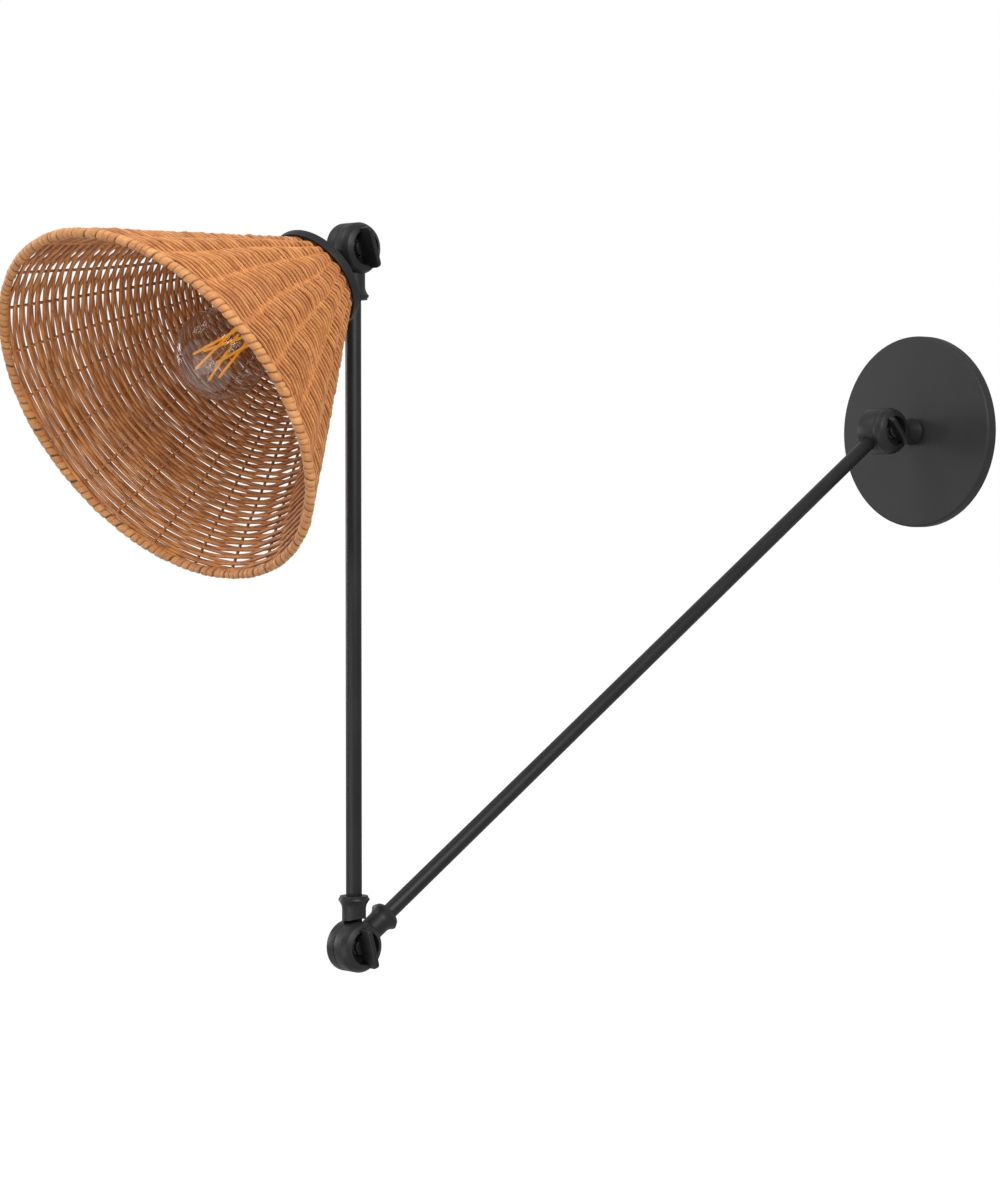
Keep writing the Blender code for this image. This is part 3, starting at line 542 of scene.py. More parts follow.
# %% Half drums and necks
def far_half(name, drum):
    radius = drum["radius"]
    seam = drum["seam"]
    outline = rounded([(0, seam - FAR_BORE, 0), (SCREW_HOLE, seam - FAR_BORE, 0), (SCREW_HOLE, seam, 0),
                       (radius, seam, FINE_EDGE), (radius, DRUM_BACK, BACK_EDGE), (0, DRUM_BACK, 0)])
    return turned(name, outline, drum_stand(drum))


def near_half(name, drum):
    radius = drum["radius"]
    face = drum["seam"] + GAP
    crown = crown_of(drum)
    floor = recess_floor(drum)
    outline = rounded([(SCREW_HOLE, floor, 0), (RECESS_RADIUS, floor, 0.0005),
                       (RECESS_RADIUS, crown, SMALL_EDGE),
                       (radius - SHOULDER_INSET, drum["front"] + SHOULDER_RISE, SOFT_EDGE),
                       (radius, drum["front"], SOFT_EDGE), (radius, face, FINE_EDGE), (SCREW_HOLE, face, 0)])
    return turned(name, outline, drum_stand(drum), closed=True)


def neck_outline(end, root_radius, root_end):
    """A neck that leaves its drum straight and swells into a lipped collar, from its end inwards."""
    widest = end - FLARE_END
    start = max(NECK_STRAIGHT, root_end + 0.002)
    lip = NECK_RADIUS + NECK_FLARE - 0.001
    outline = rounded([(0, end, 0), (lip, end, SMALL_EDGE), (lip, end - LIP_HEIGHT, 0.0002),
                       (lip + LIP_STEP, end - LIP_FOOT, 0)])
    for along in np.linspace(1, 0, 13).tolist():
        outline.append((NECK_RADIUS + NECK_FLARE * along ** 2, start + (widest - start) * along))
    if root_radius > NECK_RADIUS:
        for along in np.linspace(0, 1, 7).tolist()[1:]:
            ease = 0.5 - 0.5 * math.cos(math.pi * along)
            radius = NECK_RADIUS + (root_radius - NECK_RADIUS) * ease
            outline.append((radius, start - (start - root_end) * along))
    return outline + [(root_radius, NECK_ROOT), (0, NECK_ROOT)]


def with_neck(half, drum, along, end, near, bore, root=(NECK_RADIUS, NECK_STRAIGHT), room=TURNING_ROOM):
    """Adds a neck to a half drum, cut clear of the other half, and bores its collar."""
    stand = standing(along, drum["axis"], drum["place"])
    neck = turned("neck", neck_outline(end, *root), stand)
    face = drum["seam"] + (GAP + SEAM_ROOM if near else -SEAM_ROOM)
    reach = 0.02
    low_end, high_end = (face - reach, face) if near else (face, face + reach)
    other_half = rod("sweep", drum["radius"] + room, low_end, high_end, drum_stand(drum))
    combined(neck, other_half, "DIFFERENCE")
    combined(half, neck, "UNION")
    return combined(half, rod("socket", bore, end - TUBE_INSERT, end + 0.002, stand), "DIFFERENCE")


# %% [markdown]
# ## Building the three joints
# The wall knuckle's neck runs back to the plate, and the lower arm goes straight into its barrel. The
# elbow and the shade's knuckle are alike: a near half on one tube, a far half on the next. The shade's
# knuckle ends in a longer collar that meets the cap.

# %% Castings
def make_wall_castings():
    plate_end = -WALL.y - PLATE_DEPTH - GAP
    knuckle = with_neck(near_half("wall_knuckle_casting", WALL_DRUM), WALL_DRUM, -OUT, plate_end, True,
                        NIPPLE_HOLE, WALL_NECK_ROOT, WALL_TURNING_ROOM)
    black(knuckle, "wall_base", "wall_knuckle")
    barrel = far_half("lower_barrel_casting", WALL_DRUM)
    socket = rod("socket", TUBE_HOLE, *WALL_SOCKET, standing(LOWER_ARM, RIGHT, WALL))
    combined(barrel, socket, "DIFFERENCE")
    black(barrel, "lower_arm", "lower_arm_barrel")


def make_casting(name, half, drum, along, end, bore, body, node):
    black(with_neck(half(name, drum), drum, along, end, half is near_half, bore), body, node)


make_wall_castings()
make_casting("elbow_near_casting", near_half, ELBOW_DRUM, -LOWER_ARM, COLLAR_END, TUBE_HOLE,
             "lower_arm", "lower_arm_elbow")
make_casting("elbow_far_casting", far_half, ELBOW_DRUM, UPPER_ARM, COLLAR_END, TUBE_HOLE,
             "upper_arm", "upper_arm_elbow")
make_casting("head_near_casting", near_half, HEAD_DRUM, -UPPER_ARM, COLLAR_END, TUBE_HOLE,
             "upper_arm", "upper_arm_head")
make_casting("head_far_casting", far_half, HEAD_DRUM, SHADE_AXIS, CAP_BACK - GAP, NIPPLE_HOLE,
             "shade_head", "shade_knuckle")

# %% [markdown]
# ## Tubes
# The arms are plain drawn steel tube. Their ends are hidden in the collars, so each is a ring-shaped
# outline, turned with many sides so that its long highlight stays straight.

# %% Tubes
TUBE_BORE = 0.0038
TUBE_STOP = COLLAR_END - TUBE_INSERT + GAP  # where a tube ends in a collar, from the joint


def make_tube(name, node, body, joint, next_joint, start):
    end = (next_joint - joint).length - TUBE_STOP
    outline = rounded([(TUBE_BORE, end, 0), (TUBE_RADIUS, end, FINE_EDGE), (TUBE_RADIUS, start, FINE_EDGE),
                       (TUBE_BORE, start, 0)])
    stand = standing((next_joint - joint).normalized(), RIGHT, joint)
    tube = turned(name, outline, stand, closed=True, sides=TUBE_SIDES)
    black(tube, body, node)


make_tube("lower_arm_tube", "lower_tube", "lower_arm", WALL, ELBOW, WALL_SOCKET[0] + GAP)
make_tube("upper_arm_tube", "upper_tube", "upper_arm", ELBOW, HEAD, TUBE_STOP)

# %% [markdown]
# ## Keys
# A key locks each joint: a screw with a round hub, and a flat wing to turn it by. The wing is cast with
# soft edges, narrow where it sinks into the recess and wide outside. It starts as a flat outline with some
# thickness, and a bevel rounds its edges. The hub is turned and joined on.

# %% Keys
KEY_HUB = 0.0049
KEY_HUB_LENGTH = 0.0028
HUB_EDGE = 0.0008
KEY_SCREW = 0.0029
KEY_TOP = 0.020
KEY_WIDTH = 0.026
KEY_THICKNESS = 0.0032
KEY_CORNER = 0.003
KEY_LIFT = 0.0006
KEY_SLOPE = 0.0004  # the wing's underside drops this much towards its ends
KEY_ROOM = 0.0013  # beside the wing in its recess
KEY_EDGE = 0.0007
KEY_DIP = 0.0012  # the wing starts this far above the hub's foot
SCREW_REACH = 0.0036  # the screw ends this far past the seam
WASHER = 0.0008


def wing(drum, bottom, across):
    """The flat grip, from a filled outline in (across, along the joint's axis)."""
    half = KEY_WIDTH / 2
    root = RECESS_RADIUS - KEY_ROOM
    wide = crown_of(drum) + KEY_LIFT
    side = [(root, bottom), (root, wide), (half, wide - KEY_SLOPE)]
    side += bezel(half - KEY_CORNER, KEY_TOP - KEY_CORNER, KEY_CORNER, 0, 90, 8)
    outline = side + [(-x, y) for x, y in side[::-1]]
    grip = bpy.data.meshes.new("wing")
    form = bmesh.new()
    points = [form.verts.new((x, -KEY_THICKNESS / 2, y)) for x, y in outline]
    face = form.faces.new(points)
    pushed = bmesh.ops.extrude_face_region(form, geom=[face])
    moved = [item for item in pushed["geom"] if isinstance(item, bmesh.types.BMVert)]
    bmesh.ops.translate(form, verts=moved, vec=(0, KEY_THICKNESS, 0))
    bmesh.ops.recalc_face_normals(form, faces=form.faces)
    form.to_mesh(grip)
    form.free()
    obj = linked("wing", grip)
    obj.matrix_world = standing(drum["axis"], across, drum["place"])
    bevel = obj.modifiers.new("soft", "BEVEL")
    bevel.width = KEY_EDGE
    bevel.segments = 3
    bevel.limit_method = "ANGLE"
    bevel.angle_limit = math.radians(40)
    return applied(obj)


def make_key(name, node, body, drum, tilt):
    hub_bottom = recess_floor(drum) + GAP + WASHER + GAP
    hub_top = hub_bottom + KEY_HUB_LENGTH
    screw_end = drum["seam"] - SCREW_REACH
    outline = rounded([(0, hub_top, 0), (KEY_HUB, hub_top, HUB_EDGE), (KEY_HUB, hub_bottom, FINE_EDGE),
                       (KEY_SCREW, hub_bottom, 0), (KEY_SCREW, screw_end, SMALL_EDGE), (0, screw_end, 0)])
    piece = turned(name, outline, drum_stand(drum), sides=SMALL_SIDES)
    across = Matrix.Rotation(math.radians(tilt), 3, drum["axis"]) @ UP
    combined(piece, wing(drum, hub_bottom + KEY_DIP, across), "UNION")
    black(piece, body, node)


make_key("wall_joint_key", "wall_key", "wall_key", WALL_DRUM, tilt=44)
make_key("elbow_joint_key", "elbow_key", "elbow_key", ELBOW_DRUM, tilt=15)
make_key("shade_joint_key", "shade_key", "shade_key", HEAD_DRUM, tilt=19.5)

# %% [markdown]
# ## The cap
# A shallow pressed cup covers the narrow end of the shade. Its rim is a cut sheet edge, slightly rounded.

# %% Cap
CAP_SHEET = 0.0014
CAP_DEPTH = 0.0064
CAP_RADIUS = 0.0336
CAP_BEND = 0.0012
SHADE_STAND = standing(SHADE_AXIS, HEAD_AXIS, HEAD)


def make_cap():
    lip = CAP_BACK + CAP_DEPTH
    inner = CAP_RADIUS - CAP_SHEET
    floor = CAP_BACK + CAP_SHEET
    outline = rounded([(NIPPLE_HOLE, floor, 0), (inner, floor, CAP_BEND), (inner, lip, SMALL_EDGE),
                       (CAP_RADIUS, lip, SMALL_EDGE), (CAP_RADIUS, CAP_BACK, CAP_BEND),
                       (NIPPLE_HOLE, CAP_BACK, 0)])
    cap = turned("pressed_cap", outline, SHADE_STAND, closed=True, sides=RING_SIDES)
    black(cap, "shade_head", "shade_cap")


make_cap()

# %% [markdown]
# ## Weaving the shade
# The shade is plain weave on a cone. Stakes run from the cap to the rim, an odd number of them, and one
# long cane winds round and round, in front of one stake and behind the next. Because the number is odd,
# each turn passes on the other side of the one before, which is all that locks the weave. So the pattern
# needs no bookkeeping here either: one formula follows a single spiral. Between two stakes the cane bends
# as a springy rod does when pushed from both sides, which is a cubic curve.

# %% Cone and weave sizes
STAKES = 23
ROW_PITCH = 0.00231
CANE_RADIUS = 0.00122
STAKE_RADIUS = 0.00090
SWAY = 0.00170  # how far a weaver's middle goes in and out of the stakes' surface
STEPS = 10  # points along a weaver from one stake to the next
AROUND = 8  # points round a weaver or a stake
TURNS_EACH = 9  # turns that one length of cane covers
STAKE_POINTS = 60
STAKE_ROW = 20  # a stake's points to one row of its map
STAKE_TAIL = 0.003  # how far a stake runs on into the rim
LIP = (0.0433, 0.0320)  # along the axis and outer radius, at the cap's lip
MOUTH = (0.1897, 0.1181)  # the same at the rim
STAKE_PHASE = math.radians(3.0)
SLOPE = math.atan2(MOUTH[1] - LIP[1], MOUTH[0] - LIP[0])
START = -0.0035  # slant distance from the cap's lip to the first row
SLANT = (MOUTH[0] - LIP[0]) / math.cos(SLOPE)
AXIS = np.array(SHADE_AXIS)
SIDE_X = np.array(SHADE_STAND.to_3x3().col[0])
SIDE_Y = np.array(SHADE_STAND.to_3x3().col[1])
ORIGIN = np.array(HEAD)
rows = (SLANT - START) / ROW_PITCH
print("slant length", round(SLANT * 1000, 1), "mm, rows", round(rows, 1))


def smooth_noise(seed, count):
    """A smooth random function of two numbers, a sum of a few plane waves."""
    chance = random.Random(seed)
    waves = []
    for _ in range(count):
        waves.append((chance.uniform(-1, 1), chance.uniform(-1, 1), chance.uniform(0, math.tau)))

    def value(x, y):
        total = 0.0
        for wave_x, wave_y, phase in waves:
            total = total + np.sin(wave_x * x + wave_y * y + phase)
        return total / math.sqrt(count)
    return value


def radial(turn):
    """Directions away from the shade's axis, at some angles round it."""
    return np.cos(turn)[..., None] * SIDE_X + np.sin(turn)[..., None] * SIDE_Y


def on_cone(turn, slant, depth):
    """Points at an angle, a slant distance from the cap's lip, and a depth below the outer surface."""
    along = LIP[0] + slant * math.cos(SLOPE) + depth * math.sin(SLOPE)
    radius = LIP[1] + slant * math.sin(SLOPE) - depth * math.cos(SLOPE)
    return ORIGIN + along[:, None] * AXIS + radius[:, None] * radial(turn)


def store(mesh, grain, tone, edge):
    """Keeps the three values that the rattan finishes read at each point of a mesh."""
    mesh.attributes.new("grain", "FLOAT_VECTOR", "POINT").data.foreach_set(
        "vector", grain.reshape(-1).astype(np.float32))
    for name, values in (("tone", tone), ("edge", edge)):
        mesh.attributes.new(name, "FLOAT", "POINT").data.foreach_set("value", values.astype(np.float32))


# %% A rod along a path
def swept(name, path, radii, tone, row_steps, facing):
    """A round rod along a path, with its grain, its tone and an even map of its surface."""
    count = len(path)
    around = AROUND
    tangent = np.gradient(path, axis=0)
    tangent /= np.linalg.norm(tangent, axis=1)[:, None]
    across = np.cross(tangent, facing)
    across /= np.linalg.norm(across, axis=1)[:, None]
    above = np.cross(across, tangent)
    length = np.concatenate([[0.0], np.cumsum(np.linalg.norm(np.diff(path, axis=0), axis=1))])
    angle = np.arange(around) / around * math.tau
    ring = np.cos(angle)[None, :, None] * across[:, None, :]
    ring = ring + np.sin(angle)[None, :, None] * above[:, None, :]
    points = path[:, None, :] + np.asarray(radii)[:, None, None] * ring
    faces = []
    for step in range(count - 1):
        for side in range(around):
            nxt = (side + 1) % around
            faces.append((step * around + side, step * around + nxt,
                          (step + 1) * around + nxt, (step + 1) * around + side))
    faces.append(tuple(range(around))[::-1])
    faces.append(tuple((count - 1) * around + side for side in range(around)))
    mesh = bpy.data.meshes.new(name)
    mesh.from_pydata(points.reshape(-1, 3).tolist(), [], faces)
    thick = np.asarray(radii)[:, None]
    grain = np.stack([np.broadcast_to(length[:, None], (count, around)),
                      thick * np.cos(angle)[None, :], thick * np.sin(angle)[None, :]], axis=2)
    grain = grain + np.array([tone * 7.0, tone * 0.3, 0.0])  # no two rods cut the same fibres
    # `edge` is how far round to a cane's side each point lies; the rattan finish darkens those sides as
    # painted shade.
    store(mesh, grain, np.full(count * around, tone), np.tile(np.abs(np.cos(angle)), count))
    map_rod(mesh, count, row_steps)
    return linked(name, mesh)


def map_rod(mesh, count, row_steps):
    """Lays the rod's skin out in rows, one above another, so that a texture spreads evenly over it."""
    around = AROUND
    layer = mesh.uv_layers.new(name="OFBake")
    steps = np.repeat(np.arange(count - 1), around)
    sides = np.tile(np.arange(around), count - 1)
    row = steps // row_steps
    rows_used = (count - 2) // row_steps + 2
    left = (steps % row_steps) / row_steps
    right = (steps % row_steps + 1) / row_steps
    margin, body = 0.05, 0.9
    low = (row + margin + body * sides / around) / rows_used
    high = (row + margin + body * (sides + 1) / around) / rows_used
    corners = np.stack([left, low, left, high, right, high, right, low], axis=1)
    ends = np.zeros((2 * around, 2))
    for end in range(2):
        for side in range(around):
            turn = math.tau * side / around
            ends[end * around + side] = (0.25 + 0.5 * end + 0.02 * math.cos(turn),
                                         1 - (0.5 + 0.3 * math.sin(turn)) / rows_used)
    flat = np.concatenate([corners.reshape(-1), ends.reshape(-1)])
    layer.uv.foreach_set("vector", flat.astype(np.float32))


# %% [markdown]
# ## Canes and stakes
# Real canes aren't even. Rows crowd together here and stand apart there, a cane thins and thickens, and it
# sways more round some stakes than round others. Smooth random functions add all of that without ever
# breaking the weave's order. The weaver comes as separate lengths, as it does in the hand, and each starts
# at the stake where the last one ended.

# %% Weave
LEAN = 0.0019  # how far a stake strays to its sides
CROWDING = 0.00080  # how far a row strays, together with its neighbours
ROW_WANDER = 0.00022  # how far a row strays on its own
SWAY_CHANGE = 0.14
THICKNESS_CHANGE = 0.11
STAKE_THICKNESS_CHANGE = 0.05
FIELD = 18  # how busy the crowding is round the shade
CHORD_SHARE = 0.45  # of the way from an arc to the straight line between two stakes

crowding = smooth_noise(3, 9)
wander = smooth_noise(5, 11)
thickness = smooth_noise(8, 7)
swaying = smooth_noise(13, 7)


def stake_turn(stake, slant):
    """The angle at which a stake stands at some slant distance. Stakes lean and wander a little."""
    number = np.mod(stake, STAKES)
    lean = LEAN * wander(slant * 55, number * 9.0)
    return math.tau * stake / STAKES + STAKE_PHASE + lean / (LIP[1] + slant * math.sin(SLOPE))


def weaver_path(first, last):
    """The path of one length of cane, from one count of stakes to another along the whole spiral."""
    steps = np.arange(first * STEPS, last * STEPS + 1)
    stake = steps / STEPS
    slant = START + stake / STAKES * ROW_PITCH
    whole = np.floor(stake)
    share = stake - whole
    turn = (1 - share) * stake_turn(whole, slant) + share * stake_turn(whole + 1, slant)
    sign = np.where(np.floor(stake) % 2 == 0, 1.0, -1.0)
    bend = sign * (1 - 6 * share ** 2 + 4 * share ** 3)
    field_x = FIELD * np.cos(turn)
    field_y = FIELD * np.sin(turn)
    slant = slant + CROWDING * crowding(field_x * 0.35 + slant * 120, field_y * 0.35 + slant * 95)
    slant = slant + ROW_WANDER * wander(stake * 1.1, stake * 0.37)
    sway = SWAY * (1 + SWAY_CHANGE * swaying(stake * 0.9, stake * 0.23))
    radius = CANE_RADIUS * (1 + THICKNESS_CHANGE * thickness(stake * 0.21, stake * 0.05))
    bow = (1 - math.cos(math.pi / STAKES)) * 4 * share * (1 - share)
    chord = (LIP[1] + slant * math.sin(SLOPE)) * bow
    depth = CANE_RADIUS + SWAY - sway * bend + CHORD_SHARE * chord
    return on_cone(turn, slant, depth), radius, turn


def outward(turn):
    """The cone's outward direction at each angle."""
    return radial(turn) * math.cos(SLOPE) - AXIS * math.sin(SLOPE)


def make_weavers():
    chance = random.Random(21)
    total = int(rows * STAKES)
    each = TURNS_EACH * STAKES
    for index, first in enumerate(range(0, total, each)):
        last = min(first + each, total)
        path, radius, turn = weaver_path(first, last)
        tone = chance.uniform(0.25, 0.75)
        cane = swept(f"weaver_{index + 1}", path, radius, tone, STAKES * STEPS, outward(turn))
        in_head(cane, RATTAN, ["wicker_shade"])


def make_stakes():
    chance = random.Random(34)
    slant = np.linspace(START, SLANT + STAKE_TAIL, STAKE_POINTS)
    for index in range(STAKES):
        number = np.full(STAKE_POINTS, index)
        turn = stake_turn(number, slant)
        path = on_cone(turn, slant, np.full(STAKE_POINTS, CANE_RADIUS + SWAY))
        radius = STAKE_RADIUS * (1 + STAKE_THICKNESS_CHANGE * thickness(slant * 90, number))
        tone = chance.uniform(0.1, 0.8)
        stake = swept(f"stake_{index + 1}", path, radius, tone, STAKE_ROW, outward(turn))
        in_head(stake, RATTAN, ["wicker_shade"])


make_weavers()
make_stakes()

# %% [markdown]
# ## The wrapped rim
# Flat cane is wound round a hoop to finish the mouth, each wrap just touching the next. The wraps lean,
# because the strip moves along by its own width at every turn, and no two are quite as wide or as tight.
# One long ribbon follows the hoop as a coil does, with a crowned section whose edges dip. In that dip the
# dark hoop core shows, and the ribbon's edges are darkened too: the dark line between two wraps is painted
# shade.

# %% Rim
HOOP_OUTSIDE = 0.1188
HOOP_MINOR = 0.0029
HOOP_MAJOR = HOOP_OUTSIDE - HOOP_MINOR
HOOP_PLACE = MOUTH[0] + GAP + HOOP_MINOR
WRAPS = 151
WRAP_STEPS = 24
WRAP_WIDTH = math.tau * HOOP_MAJOR / WRAPS
RIBBON_START = 2.2  # the angle round the hoop where the ribbon begins
RIBBON_INSET = 0.0003
CORE_INSET = 0.0006
# half of the ribbon's section: the share of its width, and the height in millimetres
RIDGE = [(0.0, 0.38), (0.2, 0.32), (0.38, 0.14), (0.47, -0.15), (0.52, -0.70)]
SECTION = [(-across, height) for across, height in RIDGE[:0:-1]] + RIDGE


def hoop_point(major, minor, radius):
    """Points on a ring about the shade's axis, from the angle along it and the angle round it."""
    out = (HOOP_MAJOR + radius * np.cos(minor))[..., None]
    up = (HOOP_PLACE + radius * np.sin(minor))[..., None]
    return ORIGIN + out * radial(major) + up * AXIS


def make_rim():
    chance = random.Random(55)
    edges = np.cumsum([chance.uniform(0.62, 1.38) for _ in range(WRAPS)])
    edges = np.concatenate([[0.0], edges]) * math.tau / edges[-1]
    lift = np.array([chance.uniform(-0.00022, 0.00026) for _ in range(WRAPS + 1)])
    tilt = np.array([chance.uniform(-0.00022, 0.00036) for _ in range(WRAPS + 1)])
    tones = [chance.random() for _ in range(WRAPS + 1)]
    steps = np.arange(WRAPS * WRAP_STEPS + 1)
    share = steps / WRAP_STEPS
    centre = np.interp(share, np.arange(WRAPS + 1), edges)
    width = np.interp(share, np.arange(WRAPS) + 0.5, np.diff(edges)) * HOOP_MAJOR
    across = np.array([x for x, _ in SECTION])
    height = np.array([y for _, y in SECTION]) * 0.001
    major = centre[:, None] + across[None, :] * width[:, None] / HOOP_MAJOR
    minor = np.broadcast_to((share * math.tau + RIBBON_START)[:, None], major.shape)
    wrap = np.arange(WRAPS + 1)
    tilted = np.interp(share, wrap, tilt)[:, None] * 2 * across[None, :]
    lifted = np.interp(share, wrap, lift)[:, None] + tilted
    radius = HOOP_MINOR - RIBBON_INSET + height[None, :] + lifted
    points = hoop_point(major, minor, radius)
    rings, wide = points.shape[:2]
    faces = []
    for step in range(rings - 1):
        for side in range(wide - 1):
            corner = step * wide + side
            faces.append((corner, corner + 1, corner + wide + 1, corner + wide))
    mesh = bpy.data.meshes.new("cane_binding")
    mesh.from_pydata(points.reshape(-1, 3).tolist(), [], faces)
    grain = np.stack(np.broadcast_arrays((share * math.tau * HOOP_MINOR)[:, None],
                                         across[None, :] * WRAP_WIDTH, (share * 0.002)[:, None]), axis=2)
    tone = np.repeat(np.interp(share, wrap, tones), wide)
    # Painted shade: each wrap's edges are darkened where it meets the next.
    store(mesh, grain, tone, np.tile(2 * np.abs(across), rings))
    in_head(linked("cane_binding", mesh), FLAT_CANE, ["rim_hoop"])


def make_hoop_core():
    # Its dark finish is painted shade, for the grooves between the wraps.
    circle = bezel(HOOP_MAJOR, HOOP_PLACE, HOOP_MINOR - CORE_INSET, 90, -270, 20)[:-1]
    core = turned("hoop_core", circle, SHADE_STAND, closed=True, sides=RING_SIDES)
    in_head(core, GROOVE_SHADE_CORE, [])


make_rim()
make_hoop_core()

# %% [markdown]
# ## The bulb
# The globe runs into its neck in one smooth curve. A thin shell of glass is the outer outline and the same
# one moved inwards. Inside are a flared glass stem, six straight filaments that lean round a hyperbola,
# and the fine wires that hold them.

# %% Bulb glass
BULB_RADIUS = 0.028
BULB_CENTRE = 0.130
BULB_GLASS = 0.0008
BULB_NECK = 0.0119
NECK_LENGTH = 0.010
GLASS_START = 0.0701


def bulb_outline(shrink):
    radius = BULB_RADIUS - shrink
    neck = BULB_NECK - shrink
    globe = bezel(0, BULB_CENTRE, radius, 90, -38, 40)
    globe[0] = (0, BULB_CENTRE + radius)
    bottom_radius, bottom = globe[-1]
    collar = GLASS_START + NECK_LENGTH
    shoulder = []
    for along in np.linspace(0, 1, 13).tolist()[1:]:
        ease = 0.5 + 0.5 * math.cos(math.pi * along)
        share = 0.35 * ease + 0.65 * (1 - along) ** 1.3
        shoulder.append((neck + (bottom_radius - neck) * share, bottom + (collar - bottom) * along))
    return globe + shoulder + [(neck, GLASS_START)]


def make_bulb():
    outline = bulb_outline(0) + bulb_outline(BULB_GLASS)[::-1]
    globe = turned("bulb_globe", outline, SHADE_STAND)
    in_head(globe, SMOKY_GLASS, ["bulb_glass"])


make_bulb()

# %% Filaments, stem and wires
FILAMENT_COUNT = 6
FILAMENT_RADIUS = 0.0008
FILAMENT_TOP = (0.0070, 0.106)
FILAMENT_FOOT = (0.0105, 0.144)
FILAMENT_TWIST = math.radians(70)
WIRE_TAIL = 0.0006  # how far a wire runs into its filament
TOP_WIRE = 0.00018
FOOT_WIRE = 0.00016
POST = 0.0006
STEM_NECK = 0.0022
STEM_FLARE = 0.004


def on_shade(radius, turn, along):
    return SHADE_STAND @ Vector((radius * math.cos(turn), radius * math.sin(turn), along))


def wire(name, points, radius, material):
    """A thin round wire through some points."""
    curve = bpy.data.curves.new(name, "CURVE")
    curve.dimensions = "3D"
    curve.bevel_depth = radius
    curve.bevel_resolution = 3
    curve.use_fill_caps = True
    spline = curve.splines.new("POLY")
    spline.points.add(len(points) - 1)
    for control, point in zip(spline.points, points):
        control.co = (*point, 1.0)
    drawn = linked(name, curve)
    bpy.context.view_layer.update()
    mesh = bpy.data.meshes.new_from_object(drawn.evaluated_get(bpy.context.evaluated_depsgraph_get()))
    bpy.data.objects.remove(drawn, do_unlink=True)
    in_head(linked(name, mesh), material, [])


def make_filament(index):
    start = math.tau * index / FILAMENT_COUNT
    head = on_shade(FILAMENT_TOP[0], start, FILAMENT_TOP[1])
    foot = on_shade(FILAMENT_FOOT[0], start + FILAMENT_TWIST, FILAMENT_FOOT[1])
    lean = foot - head
    outline = rounded([(0, lean.length, 0), (FILAMENT_RADIUS, lean.length, SMALL_EDGE),
                       (FILAMENT_RADIUS, 0, SMALL_EDGE), (0, 0, 0)])
    strip = turned(f"filament_{index + 1}", outline, standing(lean, None, head), sides=FILAMENT_SIDES)
    in_head(strip, GLOWING_AMBER, [f"bulb_filament_{index + 1}"])
    along = lean.normalized()
    hub = on_shade(0.0012, start, FILAMENT_TOP[1] - 0.006)
    top = [hub, head - along * 0.0018, head + along * WIRE_TAIL]
    wire(f"top_wire_{index + 1}", top, TOP_WIRE, ZINC)
    centre = on_shade(0.0022, start + FILAMENT_TWIST, FILAMENT_FOOT[1] - 0.0015)
    bottom = [foot - along * WIRE_TAIL, foot + along * 0.0014, centre]
    wire(f"foot_wire_{index + 1}", bottom, FOOT_WIRE, ZINC)


def make_stem():
    start = GLASS_START
    inner = BULB_NECK - BULB_GLASS - GAP
    top = FILAMENT_TOP[1] - 0.004
    bead_place = FILAMENT_FOOT[1] - 0.001
    outline = rounded([(0, top, 0), (STEM_NECK, top, 0.0008), (STEM_NECK, start + 0.014, 0.003),
                       (STEM_FLARE, start + 0.006, 0.002), (inner, start + 0.001, SMALL_EDGE),
                       (inner, start, 0), (0, start, 0)], steps=5)
    stem = turned("glass_stem", outline, SHADE_STAND, sides=SMALL_SIDES)
    in_head(stem, STEM_GLASS, ["bulb_mount"])
    post = [on_shade(0, 0, top - 0.001), on_shade(0, 0, bead_place)]
    wire("centre_post", post, POST, STEM_GLASS)
    bead = turned("stem_bead", bezel(0, bead_place, STEM_NECK, 90, -90, 16), SHADE_STAND, sides=BEAD_SIDES)
    in_head(bead, STEM_GLASS, [])


for number in range(FILAMENT_COUNT):
    make_filament(number)
make_stem()

# %% [markdown]
# ## Finishes on the solids that stay
# Some solids already have the right shape: the strap, nuts, nipples, washers, shims and the lampholder.
# They keep their meshes and only get a better finish.

# %% Carried-over solids
KEPT = {
    ZINC: ["mounting_strap", "strap_nut", "wall_nipple", "wall_key_washer", "elbow_key_washer",
           "shade_key_washer", "shade_fitter", "shade_nut", "shade_nipple", "bulb_contact", "bulb_base"],
    GREEN: ["ground_screw"],
    BLACK_PLASTIC: ["wall_shim", "elbow_shim", "shade_shim", "lampholder_cup"],
    PORCELAIN: ["lampholder_block"],
    BRASS: ["lampholder_shell", "lampholder_contact"],
    BLACK_GLASS: ["bulb_insulator"],
}
for material, names in KEPT.items():
    for node_name in names:
        mesh = frame["nodes"][node_name].data
        mesh.materials.clear()
        mesh.materials.append(material)
print("solids kept:", sum(len(names) for names in KEPT.values()))

# %% [markdown]
# ## Floor, light and camera
# A product picture is lit by large soft sources on a white ground. A big panel high on the left is the
# main light, a small one low on the left throws the knuckle's soft shadow across the plate, and one on the
# right fills the black castings. A card before the shade's mouth lights no surface, but the bulb and the
# gloss of the coat mirror it. The ground is pure white to look at, yet lights the lamp less than that, or
# the castings would turn grey. The world does this by asking what kind of ray has reached it. The lamp
# hangs on a wall, so the floor is far below it.

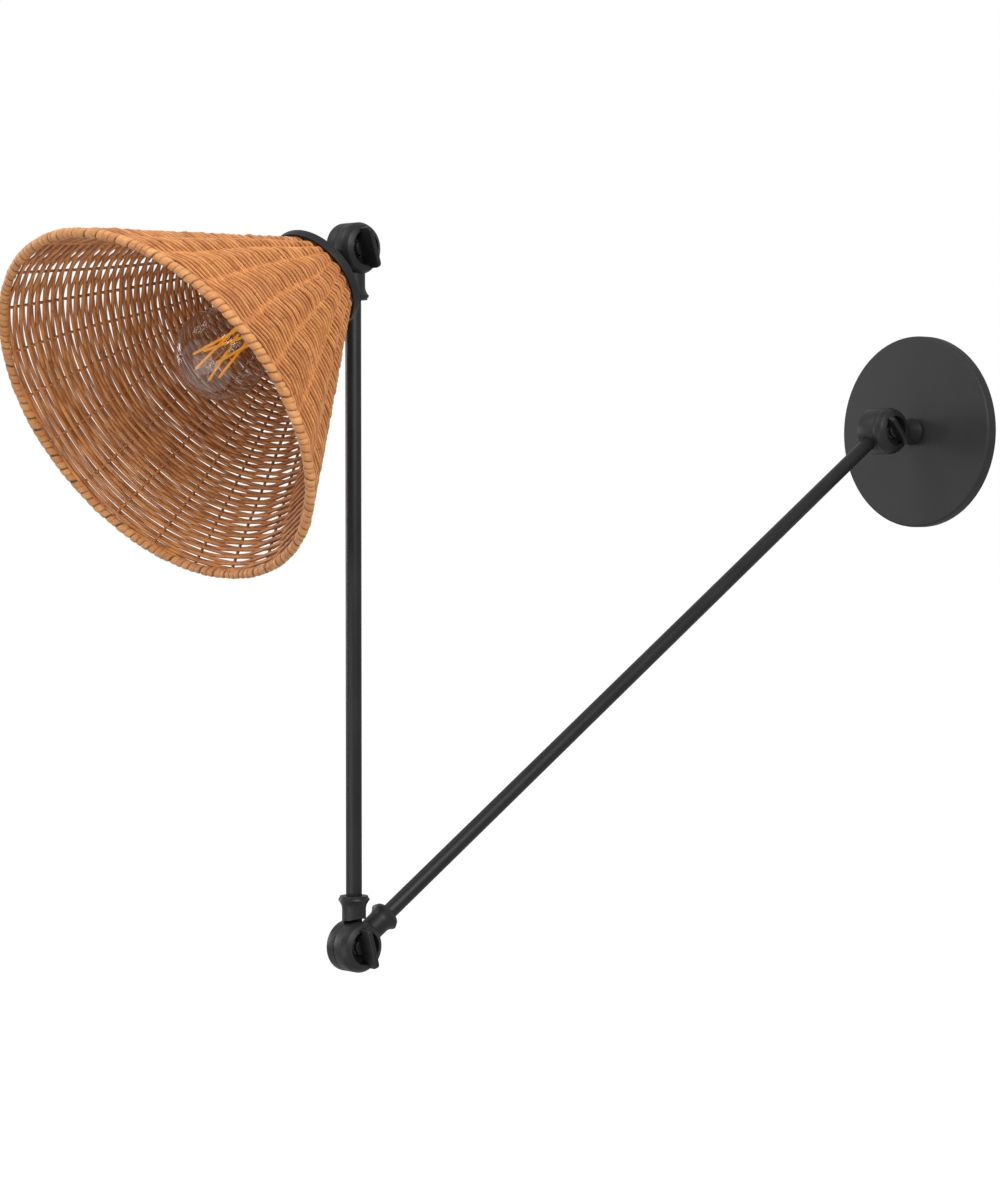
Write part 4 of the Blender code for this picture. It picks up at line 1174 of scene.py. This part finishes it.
# %% Stage
FLOOR_DROP = 1.1
FLOOR_SIZE = 60.0
FLOOR_GLOW = 1.02
CARD_DISTANCE = 1.6
CARD_SIZE = 1.5
CARD_POWER = 14.0
AMBIENT = 0.60  # the white ground as the lamp is lit by it
THROUGH_GLASS = 0.3  # how much of the full white is seen through the bulb
PANELS = {  # place, what it faces, size in metres, power in watts
    "key_panel": ((-0.9, -2.2, 2.2), (0.0, -0.4, 0.0), 1.6, 34.0),
    "side_panel": ((-2.3, -1.3, 0.1), (0.0, -0.2, 0.0), 0.9, 16.0),
    "bulb_card": (HEAD + SHADE_AXIS * CARD_DISTANCE, HEAD, CARD_SIZE, CARD_POWER),
    "fill_panel": ((2.4, -1.2, 1.4), (0.0, -0.4, 0.0), 1.8, 72.0),
}


def make_floor():
    mesh = bpy.data.meshes.new("floor")
    form = bmesh.new()
    bmesh.ops.create_grid(form, x_segments=1, y_segments=1, size=FLOOR_SIZE / 2)
    form.to_mesh(mesh)
    form.free()
    floor = linked("floor", mesh)
    floor.location = (0, 0, -FLOOR_DROP)
    made, shader, tree = finish("floor_paint", Base_Color=(0.6, 0.6, 0.6), Roughness=0.9)
    glow = tree.node("ShaderNodeEmission", None, {"Color": (1.0, 1.0, 1.0), "Strength": FLOOR_GLOW})
    mixed_surface(made, ray(tree, "Camera"), Signal(made.node_tree, shader.outputs[0]), glow)
    mesh.materials.append(made)


def make_panel(name, place, target, size, power):
    data = bpy.data.lights.new(name, "AREA")
    data.shape = "SQUARE"
    data.size = size
    data.energy = power
    panel = linked(name, data)
    panel.matrix_world = standing(Vector(place) - Vector(target), UP, place)
    if name == "bulb_card":
        panel.visible_camera = False
        panel.visible_diffuse = False
        panel.visible_transmission = False


def make_world():
    world = bpy.data.worlds.new("studio")
    world.use_nodes = True
    back = world.node_tree.nodes["Background"]
    back.inputs["Color"].default_value = (1.0, 1.0, 1.0, 1.0)
    tree = Signal(world.node_tree)
    direct = tree.maths("MAXIMUM", ray(tree, "Camera"), ray(tree, "Transmission") * THROUGH_GLASS)
    drive(back, "Strength", AMBIENT + direct * (1.0 - AMBIENT))
    bpy.context.scene.world = world


bpy.context.scene.view_settings.view_transform = "Standard"
make_floor()
make_world()
for panel_name, settings in PANELS.items():
    make_panel(panel_name, *settings)
print("panels:", list(PANELS))

# %% Camera
LENS_MM = 95.6
SENSOR_MM = 36.0
CAMERA_PLACE = (1.543, -1.790, -0.0513)
CAMERA_TILT = math.radians(88.237)  # from straight down
CAMERA_HEADING = math.radians(48.29)  # from straight at the wall, towards the left


def make_camera():
    data = bpy.data.cameras.new("camera")
    data.lens = LENS_MM
    data.sensor_width = SENSOR_MM
    camera = linked("camera", data)
    camera.location = CAMERA_PLACE
    camera.rotation_euler = (CAMERA_TILT, 0.0, CAMERA_HEADING)
    bpy.context.scene.camera = camera
    print("camera at", CAMERA_PLACE)


make_camera()
